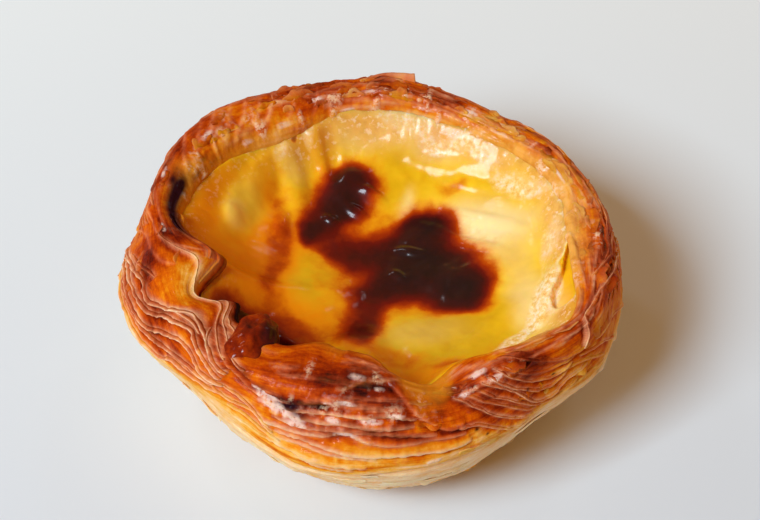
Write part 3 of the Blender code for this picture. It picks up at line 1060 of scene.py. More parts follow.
@dataclass(frozen=True)
class PastryFinish:
    """Baked laminated dough, from cream through amber to burnt, with pale leaf edges, painted shade in
    the grooves and painted highlights on edges, blisters and glints.
    """

    roughness: float = 0.46
    gloss: float = 0.015
    coat: float = 0.04
    glazed_coat: float = 0.55
    coat_roughness: float = 0.10
    glow: float = 0.30
    glow_depth: float = 0.0011
    # Edge colours are paler dough with a painted highlight; blister is pale pink painted on blisters as
    # their highlight, and fleck the white painted on glints as a highlight.
    pale_edge_and_highlight: str = "#FBDCB4"
    baked_edge: str = "#CC7638"
    browned: str = "#C97A1E"
    blister: str = "#F6CFA8"
    crumb: str = "#E3A282"
    soot: str = "#2A0B12"
    fleck: str = "#EFD0BE"

    # From raw to burnt, and the custard's film on the pastry from amber to cream.
    BAKED = [
        (0.00, "#FBD8A8"),
        (0.14, "#F5C084"),
        (0.28, "#EFA93F"),
        (0.40, "#E3850E"),
        (0.52, "#D35E04"),
        (0.64, "#B43E04"),
        (0.78, "#7E1E05"),
        (0.91, "#42100A"),
        (1.00, "#200A0A"),
    ]
    SKIN = [(0.0, "#CC6E08"), (0.35, "#E4951E"), (0.7, "#F0B35A"), (1.0, "#F8CE94")]

    def material(self) -> bpy.types.Material:
        """The pastry's material."""
        shade = Shade("baked_pastry")
        leaf_place = shade.read_vector("leaf_place")
        streak = shade.noise(1.0, 4.0, 0.6, leaf_place)
        mottle = shade.noise(0.0026, 4.0, 0.6)
        fleck = shade.noise(0.0006, 3.0, 0.6)
        bake = shade.read("bake")
        glaze = shade.read("glaze")
        streaks = shade.spread(streak, 0.25, 0.75, -0.15, 0.15)
        bake = shade.plus(bake, shade.times(streaks, shade.spread(glaze, 0.0, 1.0, 1.0, 0.25)))
        bake = shade.plus(bake, shade.spread(mottle, 0.25, 0.75, -0.10, 0.10))
        bake = shade.plus(bake, shade.spread(fleck, 0.2, 0.8, -0.05, 0.05))
        # Painted shade: darker in the grooves under the leaves' edges.
        bake = shade.plus(bake, shade.times(shade.read("groove"), 0.12))
        crumb = shade.read("crumb")
        bake = shade.plus(bake, shade.times(crumb, -0.22))
        colour = shade.ramp(bake, self.BAKED)
        # Painted highlight on the leaf edges, over paler dough.
        edge = shade.times(shade.read("edge"), shade.spread(fleck, 0.3, 0.6, 0.55, 1.0))
        edge = shade.times(edge, shade.spread(bake, 0.5, 0.95, 0.95, 0.35))
        edge_and_highlight_colour = shade.mix(shade.spread(bake, 0.42, 0.85), self.pale_edge_and_highlight, self.baked_edge)
        colour = shade.mix(edge, colour, edge_and_highlight_colour)
        skin = shade.ramp(shade.read("yolk_tone"), self.SKIN)
        skin = shade.mix(shade.spread(mottle, 0.45, 0.75), skin, self.browned)
        colour = shade.mix(shade.read("yolk"), colour, skin)
        # Painted highlight: pale pink on the blisters.
        puffed = shade.times(shade.read("puffed"), shade.spread(fleck, 0.40, 0.58))
        colour = shade.mix(shade.spread(puffed, 0.05, 0.6, 0.0, 0.75), colour, self.blister)
        tops = shade.times(shade.spread(crumb, 0.10, 0.75), shade.spread(fleck, 0.40, 0.60))
        colour = shade.mix(shade.times(tops, 0.75), colour, self.crumb)
        colour = shade.mix(shade.read("char"), colour, self.soot)
        # Painted highlight: white on the glints.
        painted_glint = shade.spread(shade.read("glint"), 0.2, 0.6)
        painted_glint = shade.times(painted_glint, shade.spread(fleck, 0.30, 0.48))
        colour = shade.mix(shade.times(painted_glint, 0.75), colour, self.fleck)
        still = shade.spread(glaze, 0.0, 1.0, 1.0, 0.15)
        relief = shade.bump(shade.times(shade.noise(0.00045, 3.0, 0.6), still), 0.00012, 0.8)
        relief = shade.bump(shade.times(streak, still), 0.00022, 0.6, relief)
        shade.set(
            Base_Color=colour,
            Roughness=shade.spread(mottle, 0.2, 0.8, self.roughness - 0.1, self.roughness + 0.1),
            Specular_IOR_Level=self.gloss,
            Coat_Weight=shade.spread(glaze, 0.0, 1.0, self.coat, self.glazed_coat),
            Coat_Roughness=self.coat_roughness,
            Subsurface_Weight=self.glow,
            Subsurface_Scale=self.glow_depth,
            Subsurface_Radius=(1.0, 0.42, 0.14),
            Normal=relief,
        )
        return shade.material


@dataclass(frozen=True)
class CustardFinish:
    """Glossy baked custard, yellow, with caramelised and scorched spots, shade painted on as a deeper
    yellow and reflections painted on as cream.
    """

    roughness: float = 0.40
    coat: float = 0.40
    burnt_coat: float = 0.70
    coat_roughness: float = 0.15
    gloss: float = 0.03
    glow: float = 0.45
    glow_depth: float = 0.0022
    # A deeper yellow painted on as shade, the orange of caramelised skin, and a cream that also paints
    # broad reflections and a small highlight.
    painted_shade: str = "#CFA216"
    caramel: str = "#F58A02"
    cream_and_sheen: str = "#FFE6A6"
    dried: str = "#FFDDBC"

    YOLK = [(0.30, "#DDA60C"), (0.70, "#F8C81E")]
    SCORCHED = [
        (0.12, "#F08E08"),
        (0.28, "#D05802"),
        (0.44, "#9E2C03"),
        (0.60, "#6A1008"),
        (0.80, "#3C0C0C"),
        (1.00, "#220E10"),
    ]
    FOAM = [(0.38, "#FFEDD2"), (0.52, "#F8D28E"), (0.66, "#E2A444")]

    def material(self) -> bpy.types.Material:
        """The custard's material."""
        shade = Shade("baked_custard")
        cloud = shade.noise(0.0070, 3.0, 0.55)
        mottle = shade.noise(0.0020, 4.0, 0.6)
        colour = shade.ramp(cloud, self.YOLK)
        # Painted shade: a deeper yellow over the lower custard.
        colour = shade.mix(shade.spread(shade.read("painted_shade"), 0.0, 1.0, 0.0, 0.85), colour, self.painted_shade)
        caramel = shade.plus(shade.read("caramel"), shade.spread(mottle, 0.3, 0.7, -0.08, 0.08))
        colour = shade.mix(shade.spread(caramel, 0.05, 0.9, 0.0, 0.92), colour, self.caramel)
        # Cream skin, with broad reflections and a small highlight painted on in cream.
        pale = shade.read("pale")
        colour = shade.mix(shade.spread(pale, 0.0, 1.0, 0.0, 0.9), colour, self.cream_and_sheen)
        char = shade.plus(shade.read("char"), shade.spread(mottle, 0.25, 0.75, -0.06, 0.06))
        colour = shade.mix(shade.spread(char, 0.08, 0.34), colour, shade.ramp(char, self.SCORCHED))
        fleck = shade.noise(0.0009, 3.0, 0.6)
        skin = shade.ramp(shade.read("tone"), PastryFinish.SKIN)
        skin = shade.mix(shade.spread(mottle, 0.45, 0.75, 0.0, 0.7), skin, PastryFinish.browned)
        skin = shade.mix(shade.spread(fleck, 0.54, 0.66, 0.0, 0.7), skin, self.dried)
        colour = shade.mix(shade.read("crust"), colour, skin)
        cell = shade.noise(0.0009, 4.0, 0.65)
        foam = shade.spread(shade.read("foam"), 0.25, 0.75, 0.0, 0.8)
        colour = shade.mix(foam, colour, shade.ramp(cell, self.FOAM))
        relief = shade.bump(shade.noise(0.0011, 3.0, 0.5), 0.00010, 0.35)
        coat = shade.spread(char, 0.4, 0.9, self.coat, self.burnt_coat)
        coat = shade.times(coat, shade.spread(shade.read("dull"), 0.0, 1.0, 1.0, 0.05))
        shade.set(
            Base_Color=colour,
            Roughness=self.roughness,
            Specular_IOR_Level=self.gloss,
            Coat_Weight=coat,
            Coat_Roughness=self.coat_roughness,
            Subsurface_Weight=self.glow,
            Subsurface_Scale=self.glow_depth,
            Subsurface_Radius=(1.0, 0.45, 0.10),
            Normal=relief,
        )
        return shade.material


@dataclass
class PastryCase:
    """The case: a ring of leaves over a plainer wall.

    Hem share is where the leaves start, and overlap how far the wall climbs behind them. Film share
    is where the custard's film starts to show inside, and film fade how far it takes to thicken.
    Streak length and width, in metres, are those of the streaks that run round the dough.
    """

    form: CaseForm
    leaves: Leaves
    finish: PastryFinish
    columns: int = 1000
    wall_rows: int = 56
    leaf_rows: int = 84
    inner_rows: int = 8
    hem_share: float = 0.345
    overlap: float = 0.022
    film_share: float = 0.76
    film_fade: float = 0.17
    streak_length: float = 0.0060
    streak_width: float = 0.0006

    # How the hem rises and falls.
    HEM = each(Swell, (205, 22, 0.050), (232, 10, -0.030), (262, 22, -0.018), (318, 20, 0.020))
    # How baked the case is at each share, and the places where it is more or less so.
    BAKE_SHARES = (0.0, 0.05, 0.15, 0.30, 0.37, 0.42, 0.50, 0.58, 0.64, 0.72, 0.82, 0.92, 1.0)
    BAKE_LEVELS = (0.34, 0.22, 0.06, 0.08, 0.26, 0.48, 0.54, 0.56, 0.58, 0.50, 0.42, 0.38, 0.36)
    BAKE = each(
        Patch,
        (199, 0.70, 11, 0.12, -0.24), (190, 0.862, 24, 0.018, 0.44), (199, 0.750, 7, 0.036, -0.10),
        (186, 0.780, 4, 0.050, 0.16), (222, 0.855, 14, 0.030, 0.26), (145, 0.830, 5, 0.030, 0.30),
        (26, 0.80, 24, 0.07, -0.08), (88, 0.78, 20, 0.07, 0.04), (214, 0.55, 9, 0.05, -0.08),
        (187, 0.53, 9, 0.05, 0.16), (180, 0.66, 4, 0.05, 0.20), (200, 0.44, 16, 0.04, 0.10),
        (262, 0.47, 20, 0.05, 0.06), (20, 0.74, 26, 0.08, -0.16), (246, 0.62, 6, 0.06, 0.04),
        (256, 0.78, 12, 0.08, 0.12), (250, 0.505, 9, 0.012, 0.30), (244, 0.43, 10, 0.05, -0.12),
        (265, 0.60, 15, 0.10, 0.12), (281, 0.64, 5, 0.10, -0.20), (277, 0.414, 16, 0.013, -0.12),
        (270, 0.447, 22, 0.012, 0.14), (268, 0.370, 24, 0.016, -0.06), (258, 0.345, 9, 0.016, 0.24),
        (246, 0.350, 7, 0.020, 0.20), (269, 0.362, 5, 0.012, 0.24), (278, 0.375, 5, 0.010, 0.26),
        (290, 0.350, 8, 0.016, 0.16), (311, 0.58, 6, 0.08, 0.20), (305, 0.46, 12, 0.05, 0.02),
        (335, 0.50, 22, 0.12, -0.12), (20, 0.58, 26, 0.08, -0.06), (268, 0.63, 20, 0.09, 0.19),
        (208, 0.48, 20, 0.06, 0.09), (4, 0.72, 16, 0.06, 0.10), (227, 0.385, 10, 0.035, -0.16),
        (0, 0.61, 14, 0.03, 0.14), (35, 0.72, 8, 0.05, 0.14), (71, 0.73, 6, 0.05, 0.12),
        (85, 0.69, 12, 0.04, 0.12), (110, 0.74, 5, 0.10, 0.12), (125, 0.75, 16, 0.09, -0.12),
        (150, 0.66, 14, 0.05, 0.10),
    )
    # How much more baked the inner face is.
    INNER = each(
        Swell,
        (32, 28, -0.12), (85, 24, -0.02), (122, 10, -0.12), (145, 10, 0.12), (172, 8, 0.08),
        (199, 9, 0.02), (220, 13, 0.34), (238, 14, 0.34), (270, 16, 0.20), (300, 10, 0.12),
        (340, 10, 0.12),
    )
    # How much nearer the lip the custard's film on the inner face starts.
    FILM = each(
        Swell,
        (10, 26, -0.12), (48, 24, -0.05), (92, 24, 0.06), (135, 14, -0.03), (284, 8, -0.30),
        (258, 16, -0.05), (316, 9, -0.10), (196, 14, 0.07), (222, 16, 0.36), (156, 18, -0.11),
    )
    # How pale the custard's film is that climbs the inner face, from amber to cream.
    YOLK_TONE = each(
        Swell,
        (0, 26, 0.45), (40, 26, 0.36), (85, 26, 0.42), (125, 14, 0.30), (156, 16, 0.26),
        (192, 12, 0.20), (318, 10, 0.55), (283, 6, 0.10),
    )
    # Where the surface is smooth and glassy.
    GLAZE = each(
        Patch,
        (277, 0.415, 16, 0.020, 1.2), (197, 0.66, 10, 0.08, 0.2), (212, 0.55, 9, 0.06, 0.4),
        (268, 0.66, 20, 0.14, 0.15), (281, 0.62, 5, 0.10, 0.5), (60, 0.85, 70, 0.12, 0.6),
        (140, 0.75, 24, 0.14, 0.25),
    )
    # Where the leaves are burnt black, and, at 218 degrees low on the inner face, the shade under the
    # lip painted black.
    CHAR = each(
        Patch,
        (249, 0.482, 3.0, 0.008, 1.0), (251, 0.494, 1.8, 0.012, 0.9), (246, 0.500, 2.0, 0.008, 0.6),
        (253, 0.470, 2.0, 0.006, 0.6), (237, 0.560, 1.5, 0.030, 0.5), (242, 0.525, 3.0, 0.010, 0.5),
        (160, 0.745, 5, 0.050, 1.0), (168, 0.735, 7, 0.060, 1.1), (177, 0.755, 5, 0.055, 0.9),
        (311, 0.575, 3.5, 0.04, 0.45), (153, 0.800, 2.4, 0.016, 0.55), (147, 0.770, 1.6, 0.014, 0.50),
        (159, 0.690, 2.0, 0.016, 0.55), (218, 0.990, 12, 0.090, 0.80), (294.5, 0.425, 0.5, 0.004, 1.3),
        (297, 0.400, 0.4, 0.003, 1.2), (307.5, 0.476, 0.4, 0.004, 1.3), (315.5, 0.480, 0.6, 0.004, 1.3),
        (318.5, 0.497, 0.4, 0.003, 1.2),
    )

    def __post_init__(self) -> None:
        """Sets up the noise of the surface."""
        self.grain = Grain(21)

    def look(self, angle: Array, skin: dict[str, Array]) -> dict[str, Array]:
        """The values that the finish reads.

        Args:
            angle: one direction for each column, in degrees.
            skin: the share of each vertex, and its marks.

        Returns:
            The values, by name.
        """
        column = angle[:, None] + 0 * skin["share"]
        share = skin["share"]
        up = self.leaves.chart(column, share)[..., 1] * MM
        ring = noise_place(column, up)
        level = np.interp(share, self.BAKE_SHARES, self.BAKE_LEVELS)
        inner = smooth_step(0.74, 0.86, share)
        level = level + patched(self.BAKE, column, share) + inner * swollen(0.0, self.INNER, column)
        level = level + 0.10 * self.grain(ring, 0.0075) * (1.0 - 0.5 * inner)
        stretched = np.full_like(column, NOISE_RING / self.streak_length)
        film = self.film_from(column)
        return {mark: skin[mark] for mark in MARKS} | {
            "bake": level,
            "glaze": np.clip(patched(self.GLAZE, column, share), 0.0, 1.0),
            "yolk": 0.9 * smooth_step(film, film + self.film_fade, share),
            "yolk_tone": np.clip(swollen(0.12, self.YOLK_TONE, column), 0.0, 1.0),
            "char": np.clip(patched(self.CHAR, column, share), 0.0, 1.0),
            "leaf_place": round_tart(stretched, up / self.streak_width, column),
        }

    def film_from(self, column: Array) -> Array:
        """The share at which the custard's film starts to show on the inner face."""
        ragged = 0.05 * self.grain(noise_place(column, 0 * column), 0.0030)
        return swollen(self.film_share, self.FILM, column) + ragged

    def piece(self, name: str, angle: Array, skin: dict[str, Array]) -> bpy.types.Object:
        """A finished ring of pastry.

        Args:
            name: the piece's name.
            angle: one direction for each column, in degrees.
            skin: the rows of the ring, closed behind.

        Returns:
            The piece.
        """
        points = round_tart(skin["radius"], skin["height"], angle[:, None])
        piece = ring_piece(name, points, self.look(angle, skin))
        piece.data.materials.append(self.finish_material)
        return piece

    @staticmethod
    def closed(skin: dict[str, Array], more: list[tuple[Array, Array, Array]]) -> dict[str, Array]:
        """A skin with the rows that close it behind.

        Args:
            skin: the rows that show.
            more: radius, height and share of each further row.

        Returns:
            The skin with those rows added.
        """
        for radius, height, share in more:
            row = {"radius": radius, "height": height, "share": share}
            blank = np.zeros_like(radius)
            for key in skin:
                value = row.get(key, blank)
                skin[key] = np.concatenate([skin[key], value[:, None]], axis=1)
        return skin

    def rows(self, low: Array, high: Array, count: int) -> Array:
        """Shares evenly spaced along the arc between two edges.

        Args:
            low: the lower edge's share in each column.
            high: the upper edge's share in each column.
            count: how many shares.

        Returns:
            A row of shares for each column.
        """
        shares = np.linspace(0.0, 1.0, len(self.leaves.ARC))
        first = np.interp(low, shares, self.leaves.ARC)
        last = np.interp(high, shares, self.leaves.ARC)
        arc = first[:, None] + (last - first)[:, None] * np.linspace(0.0, 1.0, count)[None, :]
        return np.interp(arc, self.leaves.ARC, shares)

    def hem(self, angle: Array) -> Array:
        """The share at which the leaves start, in each direction."""
        ring = noise_place(angle, 0 * angle)
        ragged = 0.010 * self.grain(ring, 0.0060) + 0.004 * self.grain(ring, 0.0012)
        return swollen(self.hem_share, self.HEM, angle) + ragged

    def wall(self, angle: Array) -> bpy.types.Object:
        """The lower wall, from the base edge up behind the lowest leaves, with the underside.

        Args:
            angle: one direction for each column, in degrees.

        Returns:
            The piece.
        """
        top = self.hem(angle) + self.overlap
        skin = self.leaves.skin(angle, self.rows(0 * angle, top, self.wall_rows))
        flat = np.ones_like(angle)
        # The top rows draw in behind the leaves.
        hidden = smooth_step(self.wall_rows - 9, self.wall_rows - 2, np.arange(self.wall_rows))
        skin["radius"] = skin["radius"] - 0.0006 * hidden
        top_r, top_z = skin["radius"][:, -1], skin["height"][:, -1]
        base = skin["radius"][:, 0]
        low = 0.05 * flat
        # Down inside to the middle of the floor, and out again under it to the base edge.
        more = [
            (top_r - 0.0012, top_z - 0.0004, 0.4 * flat),
            (top_r - 0.0030, top_z - 0.0030, 0.4 * flat),
            (base - 0.0010, 0.0050 * flat, low),
            (base - 0.0060, 0.0030 * flat, low),
            (0.0120 * flat, 0.0028 * flat, low),
            (0.0002 * flat, 0.0028 * flat, low),
            (0.0002 * flat, 0.0 * flat, 0.5 * flat),
            (0.0080 * flat, 0.0 * flat, 0.45 * flat),
            (0.0150 * flat, 0.0 * flat, 0.35 * flat),
            (base - 0.0034, 0.0 * flat, 0.25 * flat),
            (base - 0.0012, 0.0 * flat, low),
            (base - 0.0004, 0.0004 * flat, low),
        ]
        return self.piece("pastry_wall", angle, self.closed(skin, more))

    def ring_of_leaves(self, angle: Array) -> bpy.types.Object:
        """The leaves, from their hem over the crest and down inside to below the custard.

        Args:
            angle: one direction for each column, in degrees.

        Returns:
            The piece.
        """
        flat = np.ones_like(angle)
        skin = self.leaves.skin(angle, self.rows(self.hem(angle), flat, self.leaf_rows))
        lip_r, lip_z = skin["radius"][:, -1], skin["height"][:, -1]
        edge_r, edge_z = self.form.skin_edge(angle)
        more = []
        for row in range(1, self.inner_rows + 1):
            down = row / self.inner_rows
            radius = lip_r + (edge_r + 0.0006 - lip_r) * math.sqrt(down) - 0.0022 * down**2
            more.append((radius, lip_z + (edge_z - 0.0045 - lip_z) * down, flat))
        # Back out to the hem, behind the leaves.
        start_r, start_z = skin["radius"][:, 0], skin["height"][:, 0]
        last_r, last_z = more[-1][0], more[-1][1]
        more.append((0.6 * last_r + 0.4 * start_r, last_z, 0.4 * flat))
        more.append((start_r - 0.0014, start_z + 0.0002, 0.4 * flat))
        more.append((start_r - 0.0004, start_z - 0.0001, 0.4 * flat))
        return self.piece("pastry_leaves", angle, self.closed(skin, more))

    def build(self) -> list[bpy.types.Object]:
        """Makes the case's pieces.

        Returns:
            The wall and the ring of leaves.
        """
        self.finish_material = self.finish.material()
        angle = np.arange(self.columns) * FULL_TURN / self.columns
        pieces = [self.wall(angle), self.ring_of_leaves(angle)]
        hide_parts("pastry_case")
        return pieces


@dataclass
class LeafTips:
    """Thin ragged blades along edges, which stand out of the surface or lie along it.

    Thickness, root and sink are in metres: how thick a blade is, how far it reaches into the dough,
    and how far down it starts. Reach is its height in millimetres for each millimetre of rise,
    droop how many degrees it leans off the outward direction, away from its leaf's face, and vary
    how far the blades differ in how baked they are. A wedge rises along its course to a steep end.
    """

    form: CaseForm
    leaves: Leaves
    case: PastryCase
    name: str
    edges: list[tuple[LeafEdge, Array]]
    thickness: float = 0.00015
    reach: float = 0.36
    root: float = 0.00035
    droop: float = 64.0
    sink: float = 0.0
    vary: float = 0.0
    wedge: bool = False

    # Across a blade, root to tip and back: how far along it, to which side, and how light it is
    # painted, the tip lightest as paler dough with a painted highlight.
    CUT = [
        (-1.0, 1.0, 0.0),
        (0.30, 0.90, 0.35),
        (0.75, 0.75, 0.9),
        (1.0, 0.25, 1.0),
        (1.0, -0.25, 1.0),
        (0.75, -0.70, 1.0),
        (0.30, -0.85, 0.6),
        (-1.0, -1.0, 0.0),
    ]
    # How far a blade's root stands off its edge towards the leaf's face, in metres.
    STAND_OFF = 0.00008
    # Degrees by which the lean changes along a blade.
    SWAY = 22.0
    # Turns the place of a blade into a shade of its own.
    SCATTER = 12.9898

    def seats(self) -> list[tuple[Array, Array, Array]]:
        """Where the edges run in space.

        Returns:
            For each edge, its points, outward directions and directions towards its leaf's face.
        """
        angle, share = self.leaves.off_chart(np.concatenate([course for _, course in self.edges]))
        skin = self.leaves.skin(angle, share[:, None])
        climb = self.form.along(angle, share[:, None])[:, 0]
        turn = np.radians(angle)
        sky = np.array([0.0, 0.0, 1.0])
        radial = np.stack([np.cos(turn), np.sin(turn), 0 * turn], axis=1)
        sideways = np.stack([-np.sin(turn), np.cos(turn), 0 * turn], axis=1)
        up = radial * climb[:, :1] + sky * climb[:, 1:]
        out = radial * climb[:, 1:] - sky * climb[:, :1]
        point = radial * skin["radius"] + sky * skin["height"]
        side = np.concatenate([self.leaves.sides(course) for _, course in self.edges])
        face = sideways * side[:, :1] + up * side[:, 1:]
        cuts = np.cumsum([len(course) for _, course in self.edges])[:-1]
        return list(zip(np.split(point, cuts), np.split(out, cuts), np.split(face, cuts)))

    def blade(self, edge: LeafEdge, line: Array, seat: tuple[Array, Array, Array]) -> bpy.types.Object:
        """One blade along an edge.

        Args:
            edge: the edge.
            line: its course on the chart.
            seat: its points in space and their directions.

        Returns:
            The blade.
        """
        point, out, face = seat
        rise = self.leaves.strength(line, edge.rise)
        ends = np.clip(rise / 0.25, 0.0, 1.0)
        place = self.leaves.lifted(line, 7.0 * edge.rise)
        ragged = 1.0 + 0.30 * self.leaves.tear(place, 0.55) + 0.35 * self.leaves.wander(place, 2.6)
        if self.wedge:
            far = np.linspace(0.0, 1.0, len(line))
            climb = far**0.8 * smooth_step(1.0, 0.94, far)
            height = MM * self.reach * edge.rise * climb * (0.9 + 0.1 * ragged)
        else:
            height = MM * self.reach * edge.stand * rise * np.clip(ragged, 0.15, 1.8)
        uneven = 1.0 + 0.35 * self.leaves.wander(place, 0.9)
        thick = self.thickness * (0.2 + 0.8 * edge.stand) * ends * uneven
        lean = np.radians(self.droop + self.SWAY * self.leaves.wander(place + 3.0, 3.0))[:, None]
        reach = out * np.cos(lean) - face * np.sin(lean)
        across = out * np.sin(lean) + face * np.cos(lean)
        start = point + face * self.STAND_OFF - out * self.sink
        rings, pale = [], []
        for along, beside, light in self.CUT:
            length = np.where(along < 0, self.root * ends, height * along)
            sign = np.where(along < 0, -1.0, 1.0)
            rings.append(start + reach * (sign * length)[:, None] + across * (thick * beside)[:, None])
            pale.append(np.full(len(line), light * edge.pale))
        sides = len(self.CUT)
        deselect()
        bpy.ops.mesh.primitive_grid_add(
            x_subdivisions=len(line) - 1, y_subdivisions=sides, size=GRID_SIDE, calc_uvs=False
        )
        blade = bpy.context.object
        sculpt(blade, np.stack(rings + rings[:1], axis=0))
        angle, share = self.leaves.off_chart(line)
        column = share[:, None]
        looks = self.case.look(angle, {"share": column} | {mark: 0 * column for mark in MARKS})
        looks["bake"] = looks["bake"] + self.vary * math.sin(self.SCATTER * line[0].sum())
        values = {}
        for name, value in looks.items():
            flat = value[:, 0]
            values[name] = np.broadcast_to(flat, (sides + 1, *flat.shape))
        values["edge"] = np.stack(pale + pale[:1], axis=0)
        paint(blade, values)
        return blade

    def build(self) -> list[bpy.types.Object]:
        """Makes the blades, joined as one piece.

        Returns:
            The piece.
        """
        blades = [self.blade(*pair, seat) for pair, seat in zip(self.edges, self.seats())]
        deselect()
        for blade in blades:
            blade.select_set(True)
        bpy.context.view_layer.objects.active = blades[0]
        if len(blades) > 1:
            bpy.ops.object.join()
        piece = bpy.context.object
        piece.name = self.name
        sew(outward=True)
        piece.data.materials.append(self.case.finish_material)
        return [piece]


@dataclass
class BurntBubble:
    """The burnt, glossy bubble that has risen at the left of the front flap.

    Middle and half are its middle and its half sizes in metres, turn its turn from above in
    degrees, and lumpy how far its lumps stand out, as a share of its half sizes.
    """

    case: PastryCase
    middle: tuple[float, float, float] = (-0.0169, -0.0213, 0.0269)
    half: tuple[float, float, float] = (0.0034, 0.0047, 0.0023)
    turn: float = -30.0
    lumpy: float = 0.22

    LOOK = {"bake": 0.78, "glaze": 0.6, "yolk": 0.0, "yolk_tone": 0.0}
    # Metres to one rise of the fine streaks.
    STREAK = 0.004

    def build(self) -> list[bpy.types.Object]:
        """Makes the bubble.

        Returns:
            The piece.
        """
        deselect()
        bpy.ops.mesh.primitive_uv_sphere_add(segments=72, ring_count=36, radius=1.0)
        piece = bpy.context.object
        piece.name = "burnt_bubble"
        ball = np.array([vertex.co for vertex in piece.data.vertices])
        grain = Grain(41)
        swell = 1.0 + self.lumpy * grain.rough(ball, 0.9)
        swell = swell + 0.05 * grain(ball, 0.30) + 0.02 * grain(ball, 0.12)
        points = ball * swell[:, None] * self.half
        turn = math.radians(self.turn)
        across = points[:, 0] * math.cos(turn) - points[:, 1] * math.sin(turn)
        along = points[:, 0] * math.sin(turn) + points[:, 1] * math.cos(turn)
        points = np.stack([across, along, points[:, 2]], axis=1) + self.middle
        sculpt(piece, points)
        flat = np.ones(len(points))
        values = {name: value * flat for name, value in self.LOOK.items()}
        values |= {mark: 0.0 * flat for mark in MARKS}
        scorched = ball[:, 0] + 0.6 * ball[:, 1] + 0.4 * grain(ball, 0.5)
        values["char"] = 0.85 * smooth_step(0.3, 1.1, scorched)
        values["leaf_place"] = points / self.STREAK
        paint(piece, values)
        bpy.ops.object.shade_smooth()
        piece.data.materials.append(self.case.finish_material)
        return [piece]


